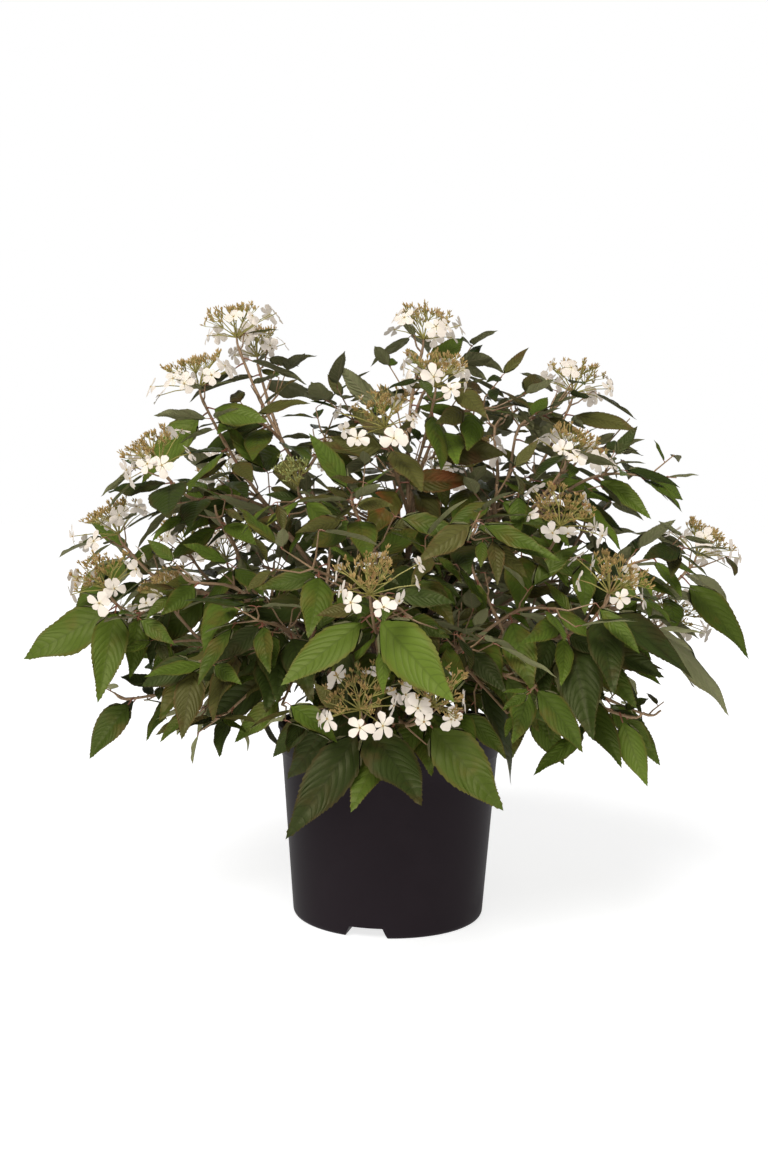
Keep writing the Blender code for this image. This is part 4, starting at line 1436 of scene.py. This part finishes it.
def bud_brush(end, way, arrive, count, rays, buds, rng):
    """Short upright rays from the end of a fork, each with a pointed bud."""
    for _ in range(count):
        aim = unit(way * 0.35 + arrive * 0.9 + scatter(rng) * 0.65)
        tip = end + aim * rng.uniform(*BRUSH)
        rays.append(ray([end, tip], 0.30, 0.24, sides=3))
        grow = rng.uniform(*BUD_GROWN)
        buds.append(stretched_ball(tip, aim, BUD_LONG * grow, BUD_WIDE * grow))


def head_parts(head, rng):
    """The rays and buds of one head as solids, and its petals as blades."""
    plate = head.hub + head.arrive * STALK_LENGTH
    knot = plate - head.arrive * KNOT_DROP
    side = unit(head.arrive.orthogonal())
    up = head.arrive.cross(side)
    radius = HEAD_RADIUS * head.size * HEAD_SPREAD
    forks, tuft = (FORKS, TUFT) if head.kind == "bloom" else (GREEN_FORKS, GREEN_TUFT)
    rays, buds, petals = [], [], []

    def on_plate(reach, angle):
        crown = HEAD_CROWN * head.size * (1 - (reach / radius) ** 2)
        return plate + around(side, up, angle) * reach + head.arrive * crown

    for i in range(RAYS):
        angle = 2 * math.pi * (i + rng.uniform(-0.2, 0.2)) / (RAYS - 1)
        reach = radius * (rng.uniform(*RAY_END) if i < RAYS - 1 else MIDDLE_RAY_END)
        fork = knot.lerp(on_plate(reach, angle), rng.uniform(*FORK_AT))
        bend = knot.lerp(fork, 0.5) + head.arrive * 0.3 * MM
        rays.append(ray([knot, bend, fork], 0.75, 0.6, 0.5, sides=SMALL_SIDES))
        for _ in range(forks):
            spread = rng.uniform(0, 2 * math.pi)
            end = on_plate(reach, angle) + head.arrive * rng.uniform(*FORK_LIFT_MM) * MM
            end = end + around(side, up, spread) * radius * rng.uniform(*FORK_SPREAD)
            rays.append(ray([fork, end], 0.42, 0.34, sides=4))
            bud_brush(end, unit(end - fork), head.arrive, tuft, rays, buds, rng)
    if head.kind == "bloom":
        for rim in head.florets:
            for twin in range(rng.choice(TWINS)):
                aside = head.arrive.cross(rim - plate) * rng.uniform(*TWIN_ASIDE) * twin
                add_floret(head, knot, plate, rim + aside, rays, buds, petals, rng)
    return rays, buds, petals


def add_floret(head, knot, plate, rim, rays, buds, petals, rng):
    """A large sterile floret on its own ray: five petals round a small eye."""
    centre = plate + (rim - plate) * rng.uniform(*FLORET_REACH_SHARE)
    centre = centre - head.arrive * rng.uniform(*FLORET_DROP)
    elbow = knot.lerp(centre, 0.6) + head.arrive * 1.5 * MM
    rays.append(ray([knot, elbow, centre], 0.6, 0.5, 0.4, sides=SMALL_SIDES))
    swerve = scatter(rng) * 0.35
    out = unit(rim - plate)
    face = unit(head.arrive * rng.uniform(0.0, 0.7) + out * rng.uniform(0.6, 1.0) + swerve)
    start = unit(face.orthogonal())
    size = rng.uniform(*PETAL_LENGTH)
    first = rng.uniform(0, 360)
    small = rng.randrange(PETALS)
    for k in range(PETALS):
        axis = turned(start, face, first + 360 / PETALS * k + rng.uniform(-9, 9))
        axis = unit(axis + face * rng.uniform(-0.20, 0.20))
        normal = square_to(axis, face)
        petals.append(Blade(
            root=centre + normal * 0.12 * MM * k, axis=axis, face=normal,
            length=size * (SMALL_PETAL if k == small else rng.uniform(*PETAL_GROWN)), stalk=0.02,
            arch=rng.uniform(-0.05, 0.28), half=rng.uniform(0.30, 0.42), fold=rng.uniform(-0.1, 0.2),
            curl=rng.uniform(-0.1, 0.35), twist=rng.uniform(-0.3, 0.3), bend=rng.uniform(-0.08, 0.08),
            wave=rng.uniform(0.0, 0.12), tone=rng.random(), tint=(0, 0)))
    buds.append(stretched_ball(centre + face * 0.6 * MM, face, 1.0 * MM, 1.2 * MM))


all_rays, all_buds, green_buds, all_petals = [], [], [], []
for number, head in enumerate(heads):
    rays, buds, petals = head_parts(head, random.Random(number * 101 + 3))
    all_rays.extend(rays)
    (all_buds if head.kind == "bloom" else green_buds).extend(buds)
    all_petals.extend(petals)
head_nodes = tuple(sorted({"foliage_" + head.mass for head in heads}))
pieces.extend((made, "leaf", head_nodes) for made in (
    joined_object("flower_rays", all_rays, woods["flower_ray"]),
    joined_object("flower_buds", all_buds, woods["flower_bud"]),
    joined_object("green_buds", green_buds, woods["green_bud"]),
    sheet_object("florets", petal_sheet, all_petals, [petal_skin], pleat=0.004, thickness=0.00025)))
print("rays", len(all_rays), "buds", len(all_buds), "petals", len(all_petals))

# %% [markdown]
# The stem and the boughs are old wood. Each bough swells into the stem at its foot and hands
# over to its leading shoot at its tip, so the joint does not show as a step.

# %% Dress the stem and boughs
STEM_SIDES = 40
BOUGH_SIDES = 12
BOUGH_STEPS = 4
BOUGH_KNOT = 0.06
BOUGH_FLARES = (1.55, 1.12)
STEM_BARK_DEPTH = 0.0007
BOUGH_BARK_DEPTH = 0.00022
STEM_FLARE_RADIUS = 0.0215
STEM_WAIST_RADIUS = 0.0150
# Heights over the soil and radii of the stem's foot, and bearings up its rounded top in degrees.
STEM_FOOT = [(-0.002, STEM_FLARE_RADIUS), (0.002, STEM_FLARE_RADIUS * 0.92),
             (0.007, STEM_WAIST_RADIUS * 1.18), (0.014, STEM_WAIST_RADIUS * 1.02),
             (0.022, STEM_WAIST_RADIUS * 0.98)]
STOOL_BEARINGS = (-38, -26, -14, -2, 10, 22, 34, 46, 58, 68, 78, 85)


def stem_solid():
    """The stem from below the soil to the top of its knob, leaning as it rises."""
    profile = [(SOIL_TOP + rise, radius) for rise, radius in STEM_FOOT]
    for angle in map(math.radians, STOOL_BEARINGS):
        profile.append((STOOL_Z + STOOL_RADIUS * math.sin(angle), STOOL_RADIUS * math.cos(angle)))
    heights, radii = zip(*profile)
    shares = [min(1.0, max(0.0, (z - SOIL_TOP) / (STOOL_Z - SOIL_TOP))) for z in heights]
    points = [UP * z + STEM_LEAN * share for z, share in zip(heights, shares)]
    return bark_tube(points, radii, STEM_SIDES, random.Random(5), STEM_BARK_DEPTH)


def bough_solid(name, path, rng):
    """A bough sunk 3 mm in the stem, and 1.5 mm into the shoot that goes on from its tip."""
    out = tangents(path)[-1]
    whole = [path[0] - directions[name] * 3 * MM] + path + [path[-1] + out * 1.5 * MM]
    radii = ([BOUGH_BASE_RADIUS * share for share in BOUGH_FLARES]
             + taper(BOUGH_BASE_RADIUS, BOUGH_TIP_RADIUS, BOUGH_POINTS)[1:] + [LEADER_RADIUS])
    return bark_tube(rounded(whole, BOUGH_STEPS), knotted(radii, BOUGH_STEPS, BOUGH_KNOT),
                     BOUGH_SIDES, rng, BOUGH_BARK_DEPTH)


bough_solids = [bough_solid(name, path, random.Random(number))
                for number, (name, path) in enumerate(boughs.items())]
bough_nodes = tuple("bough_" + name for name in boughs)
pieces.append((joined_object("stem_bark", [stem_solid()], woods["old_bark"]), "bark", ("stem",)))
pieces.append((joined_object("bough_bark", bough_solids, woods["old_bark"]), "bark", bough_nodes))
print("boughs", len(bough_solids))

# %% [markdown]
# The pot is moulded black plastic: a tapering wall, a collar with a fine bead below it, a thick
# floor and three drain channels that show as notches in the foot. Its wall is turned again with
# more steps than the solid has, so that its edge stays round close up, and the channels are cut
# by the same sloping bars.

# %% Dress the pot
POT_FOOT_RADIUS = 0.0862
POT_BASE_RADIUS = 0.0905
POT_FOOT_CHAMFER = 0.0055
POT_COLLAR_RADIUS = 0.1030
POT_COLLAR_Z = 0.157
POT_COLLAR_STEP = 0.0009
POT_LIP_HEIGHT = 0.004
POT_WALL = 0.0022
POT_FLOOR = 0.0135
POT_STEPS = 144
DRAIN_HEIGHT = 0.010
DRAIN_WIDTH_BELOW = 0.040
DRAIN_WIDTH_ABOVE = 0.031
DRAIN_REACH = (0.036, 0.120)
DRAIN_BEARING = -13.0
DRAIN_COUNT = 3
WALL_STEPS = 12
FOOT_BEARINGS = (0, 18, 36, 54, 72, 90)


def pot_wall_radius(z):
    share = (z - POT_FOOT_CHAMFER) / (POT_COLLAR_Z - POT_FOOT_CHAMFER)
    return POT_BASE_RADIUS + (POT_COLLAR_RADIUS - POT_COLLAR_STEP - POT_BASE_RADIUS) * share


def pot_profile():
    """Radius and height from the middle of the floor, over the rim and down to the foot."""
    inner_foot = pot_wall_radius(POT_FLOOR) - POT_WALL
    inner_rim = pot_wall_radius(POT_HEIGHT) - POT_WALL
    lip_z = POT_HEIGHT - POT_LIP_HEIGHT
    bead_z = POT_COLLAR_Z - 0.0045
    floor = [(0.0, POT_FLOOR), (inner_foot - 0.003, POT_FLOOR), (inner_foot, POT_FLOOR + 0.003)]
    rim = [(inner_rim, POT_HEIGHT - 0.0008), (inner_rim + 0.0003, POT_HEIGHT - 0.0002),
           (inner_rim + 0.0008, POT_HEIGHT), (POT_RIM_RADIUS - 0.0008, POT_HEIGHT),
           (POT_RIM_RADIUS - 0.0002, POT_HEIGHT - 0.0002), (POT_RIM_RADIUS, POT_HEIGHT - 0.0008),
           (POT_RIM_RADIUS, lip_z), (pot_wall_radius(POT_HEIGHT) + POT_COLLAR_STEP, lip_z - 0.0012)]
    collar = [(POT_COLLAR_RADIUS + 0.0001, POT_COLLAR_Z + 0.0010),
              (POT_COLLAR_RADIUS, POT_COLLAR_Z + 0.0003),
              (POT_COLLAR_RADIUS - 0.0003, POT_COLLAR_Z - 0.0002),
              (pot_wall_radius(POT_COLLAR_Z) + 0.0003, POT_COLLAR_Z - 0.0006),
              (pot_wall_radius(bead_z) + 0.0004, bead_z + 0.0003),
              (pot_wall_radius(bead_z), bead_z - 0.0004)]
    drops = [bead_z - (bead_z - POT_FOOT_CHAMFER) * i / WALL_STEPS for i in range(1, WALL_STEPS)]
    wall = [(pot_wall_radius(z), z) for z in drops]
    spread = POT_BASE_RADIUS - POT_FOOT_RADIUS
    foot = [(POT_FOOT_RADIUS + spread * math.cos(angle), POT_FOOT_CHAMFER * (1 - math.sin(angle)))
            for angle in map(math.radians, FOOT_BEARINGS)]
    return floor + rim + collar + wall + foot + [(0.0, 0.0)]


def turned_faces(rings, steps):
    """The faces of a solid that is a first point, rings of points, and a last point."""
    last = 1 + rings * steps
    faces = []
    for k in range(steps):
        after = (k + 1) % steps
        faces.append((0, 1 + k, 1 + after))
        for i in range(rings - 1):
            here, there = 1 + i * steps, 1 + (i + 1) * steps
            faces.append((here + after, here + k, there + k, there + after))
        faces.append((last, last - steps + after, last - steps + k))
    return faces


def turned_solid(profile, steps):
    """A closed solid of revolution from a profile that starts and ends on the axis."""
    vertices = [UP * profile[0][1]]
    for radius, z in profile[1:-1]:
        vertices.extend(ring_point(radius, 2 * math.pi * k / steps, z) for k in range(steps))
    vertices.append(UP * profile[-1][1])
    return vertices, turned_faces(len(profile) - 2, steps)


def drain_bar(bearing):
    """A sloping bar under the foot, wider below, that cuts one drain channel."""
    slope = (DRAIN_WIDTH_BELOW - DRAIN_WIDTH_ABOVE) / 2 / DRAIN_HEIGHT
    below = 2 * MM
    mesh = bpy.data.meshes.new("drain")
    work = bmesh.new()
    bmesh.ops.create_cube(work, size=1.0)
    for vertex in work.verts:
        top = vertex.co.z > 0
        half = DRAIN_WIDTH_ABOVE / 2 if top else DRAIN_WIDTH_BELOW / 2 + slope * below
        vertex.co.z = DRAIN_HEIGHT if top else -below
        vertex.co.x = math.copysign(half, vertex.co.x)
        vertex.co.y = -DRAIN_REACH[1] if vertex.co.y < 0 else -DRAIN_REACH[0]
    turn = Matrix.Rotation(math.radians(bearing), 3, "Z")
    bmesh.ops.rotate(work, verts=work.verts, cent=(0, 0, 0), matrix=turn)
    work.to_mesh(mesh)
    work.free()
    return shown("drain", mesh)


def pot_material():
    """Black plastic with a faint brown cast, a cloudy haze and fine specks of dust."""
    made, tree, shader = new_material("pot_plastic", 0.52)
    haze = grouped(tree, BLOTCHES, Scale=14.0, Cover=0.55)["Mask"]
    specks = grouped(tree, BLOTCHES, Scale=260.0, Cover=0.22)["Mask"]
    base = layered(tree, (0.0152, 0.0116, 0.0140), (0.0200, 0.0152, 0.0182), haze, 0.5)
    base = layered(tree, base, (0.030, 0.023, 0.022), specks, 0.25)
    finish(tree, shader, base, grouped(tree, GRAIN, Scale=500.0, Stretch=1.0)["Height"], 0.12, 0.0003)
    feed(tree, shader["Roughness"], ranged(tree, haze, 0.0, 1.0, 0.48, 0.58))
    set_gloss(shader, 0.045, (1.0, 0.80, 0.84))
    return made


pot_skin = joined_object("pot_wall", [turned_solid(pot_profile(), POT_STEPS)], pot_material(), False)
bars = [drain_bar(DRAIN_BEARING + 360 * i / DRAIN_COUNT) for i in range(DRAIN_COUNT)]
for bar in bars:
    cut = pot_skin.modifiers.new("drain", "BOOLEAN")
    cut.operation = "DIFFERENCE"
    cut.solver = "EXACT"
    cut.object = bar
graph = bpy.context.evaluated_depsgraph_get()
cut_mesh = bpy.data.meshes.new_from_object(pot_skin.evaluated_get(graph))
pot_skin.modifiers.clear()
pot_skin.data = cut_mesh
for bar in bars:
    bpy.data.objects.remove(bar, do_unlink=True)
smoothed(cut_mesh, 35)
pieces.append((pot_skin, "pot", ("pot",)))
print("pot faces", len(cut_mesh.polygons))

# %% [markdown]
# The compost is a low mound of dark crumbs, a little lower at the wall. A disc is drawn up into
# crumbs by two layers of noise, and small loose chips lie on it.

# %% Dress the compost
SOIL_EDGE_TOP = 0.160
SOIL_EDGE_RADIUS = pot_wall_radius(SOIL_EDGE_TOP) - POT_WALL - GAP
SOIL_FOOT_RADIUS = pot_wall_radius(POT_FLOOR) - POT_WALL - GAP
SOIL_FOOT_Z = POT_FLOOR + GAP
SOIL_RINGS = 46
SOIL_SPOKES = 150
SOIL_SINK = 0.0006
LUMP_DEPTH, LUMP_SCALE = 0.0014, 90
CRUMB_DEPTH, CRUMB_SCALE = 0.0011, 260
EDGE_CRUMB_SHARE = 0.3
SOIL_CHIPS = 260
STEM_CLEAR_RADIUS = 0.024


def soil_height(reach):
    return SOIL_TOP - (SOIL_TOP - SOIL_EDGE_TOP) * (reach / SOIL_EDGE_RADIUS) ** 3


def soil_solid():
    """A crumbly mound on rings from the middle out to the wall, closed by a floor."""
    angles = [2 * math.pi * k / SOIL_SPOKES for k in range(SOIL_SPOKES)]
    vertices = [UP * SOIL_TOP]
    for i in range(1, SOIL_RINGS + 1):
        reach = SOIL_EDGE_RADIUS * i / SOIL_RINGS
        share = 1.0 if i < SOIL_RINGS else EDGE_CRUMB_SHARE
        for angle in angles:
            place = ring_point(reach, angle)
            lump = (LUMP_DEPTH * noise.noise(place * LUMP_SCALE)
                    + CRUMB_DEPTH * abs(noise.noise(place * CRUMB_SCALE)))
            vertices.append(place + UP * (soil_height(reach) + lump * share - SOIL_SINK))
    vertices.extend(ring_point(SOIL_FOOT_RADIUS, angle, SOIL_FOOT_Z) for angle in angles)
    vertices.append(UP * SOIL_FOOT_Z)
    return vertices, turned_faces(SOIL_RINGS + 1, SOIL_SPOKES)


rng = random.Random(12)
soil_parts = [soil_solid()]
for _ in range(SOIL_CHIPS):
    reach = SOIL_EDGE_RADIUS * 0.95 * math.sqrt(rng.random())
    angle = rng.uniform(0, 2 * math.pi)
    if reach < STEM_CLEAR_RADIUS:
        continue
    place = ring_point(reach, angle, soil_height(reach))
    axis = unit(Vector((rng.uniform(-1, 1), rng.uniform(-1, 1), rng.uniform(-0.25, 0.25))))
    soil_parts.append(stretched_ball(place, axis, rng.uniform(1.5, 5.0) * MM, rng.uniform(0.7, 1.6) * MM))
pieces.append((joined_object("compost", soil_parts, woods["compost"]), "soil", ("soil",)))
print("compost chips", len(soil_parts) - 1)

# %% [markdown]
# Every piece must ride with the plant's one body, and stand for the solids that it hides. The
# floor is plain and pale, and only carries the shadow.

# %% Hand the pieces to the frame
for made, slot, nodes in pieces:
    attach(made, "root")
    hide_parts(*nodes)

FLOOR_SIDE = 12.0
FLOOR_CORNERS = [(-1, -1), (1, -1), (1, 1), (-1, 1)]
floor_mesh = bpy.data.meshes.new("floor")
corners = [(x * FLOOR_SIDE / 2, y * FLOOR_SIDE / 2, 0) for x, y in FLOOR_CORNERS]
floor_mesh.from_pydata(corners, [], [(0, 1, 2, 3)])
floor_finish, _, floor_shader = new_material("floor", 0.9)
floor_shader["Base Color"].default_value = (0.50, 0.50, 0.50, 1.0)
floor_shader["Specular IOR Level"].default_value = 0.0
set_glow(floor_shader, (1.0, 1.0, 1.0), 0.76)
floor_mesh.materials.append(floor_finish)
floor = shown("floor", floor_mesh)
total = sum(len(p.vertices) - 2 for made, _, _ in pieces for p in made.data.polygons)
print("pieces", len(pieces), "triangles", total)

# %% [markdown]
# Soft studio light for leaves that shade one another. A room that is white to the eye but gives
# little light keeps the depth of the crown dark. One broad sun lamp shines from high in front on
# the left, and panels add the rest: a small one above the flower heads, a wide one in front
# that lifts the drooping leaves, two tall ones at the sides that draw the pale edges on the
# black pot, and a wide one behind, for whoever walks round the plant.

# %% Light
ROOM_LIGHT = 0.15
SUN_POWER = 2.3
SUN_SPREAD = 28
SUN_PLACE, SUN_AIM = (-0.7, -1.8, 2.2), (0.0, 0.0, 0.3)
Panel = namedtuple("Panel", "place aim size power")
PANELS = {
    "top": Panel((-0.15, -0.75, 1.15), (0.0, 0.0, 0.42), (0.8, 0.5), 5.0),
    "front": Panel((0.25, -2.4, 0.45), (0.0, 0.0, 0.35), (1.8, 1.2), 15.0),
    "right": Panel((1.5, -0.5, 0.9), (0.0, 0.0, 0.25), (0.5, 1.6), 2.4),
    "left": Panel((-1.6, -0.3, 0.9), (0.0, 0.0, 0.25), (0.5, 1.6), 1.2),
    "back": Panel((0.3, 2.6, 1.2), (0.0, 0.0, 0.35), (2.0, 1.2), 10.0),
}

world = bpy.data.worlds.new("room")
bpy.context.scene.world = world
world.use_nodes = True
room = world.node_tree.nodes["Background"].inputs
room["Color"].default_value = (1.0, 1.0, 1.0, 1.0)
seen = add_node(world.node_tree, "ShaderNodeLightPath").outputs["Is Camera Ray"]
feed(world.node_tree, room["Strength"], ranged(world.node_tree, seen, 0.0, 1.0, ROOM_LIGHT, 1.0))


def new_lamp(name, kind, place, aim, power):
    """A lamp at a place, turned towards what it is aimed at."""
    lamp = bpy.data.lights.new(name, kind)
    lamp.energy = power
    made = shown(name, lamp)
    made.location = place
    made.rotation_euler = (Vector(aim) - Vector(place)).to_track_quat("-Z", "Y").to_euler()
    return lamp


key = new_lamp("key", "SUN", SUN_PLACE, SUN_AIM, SUN_POWER)
key.angle = math.radians(SUN_SPREAD)
for name, panel in PANELS.items():
    lamp = new_lamp(name, "AREA", panel.place, panel.aim, panel.power)
    lamp.shape = "RECTANGLE"
    lamp.size, lamp.size_y = panel.size
scene = bpy.context.scene
scene.view_settings.view_transform = "Standard"
scene.view_settings.look = "None"

# %% Finish
bpy.context.view_layer.update()
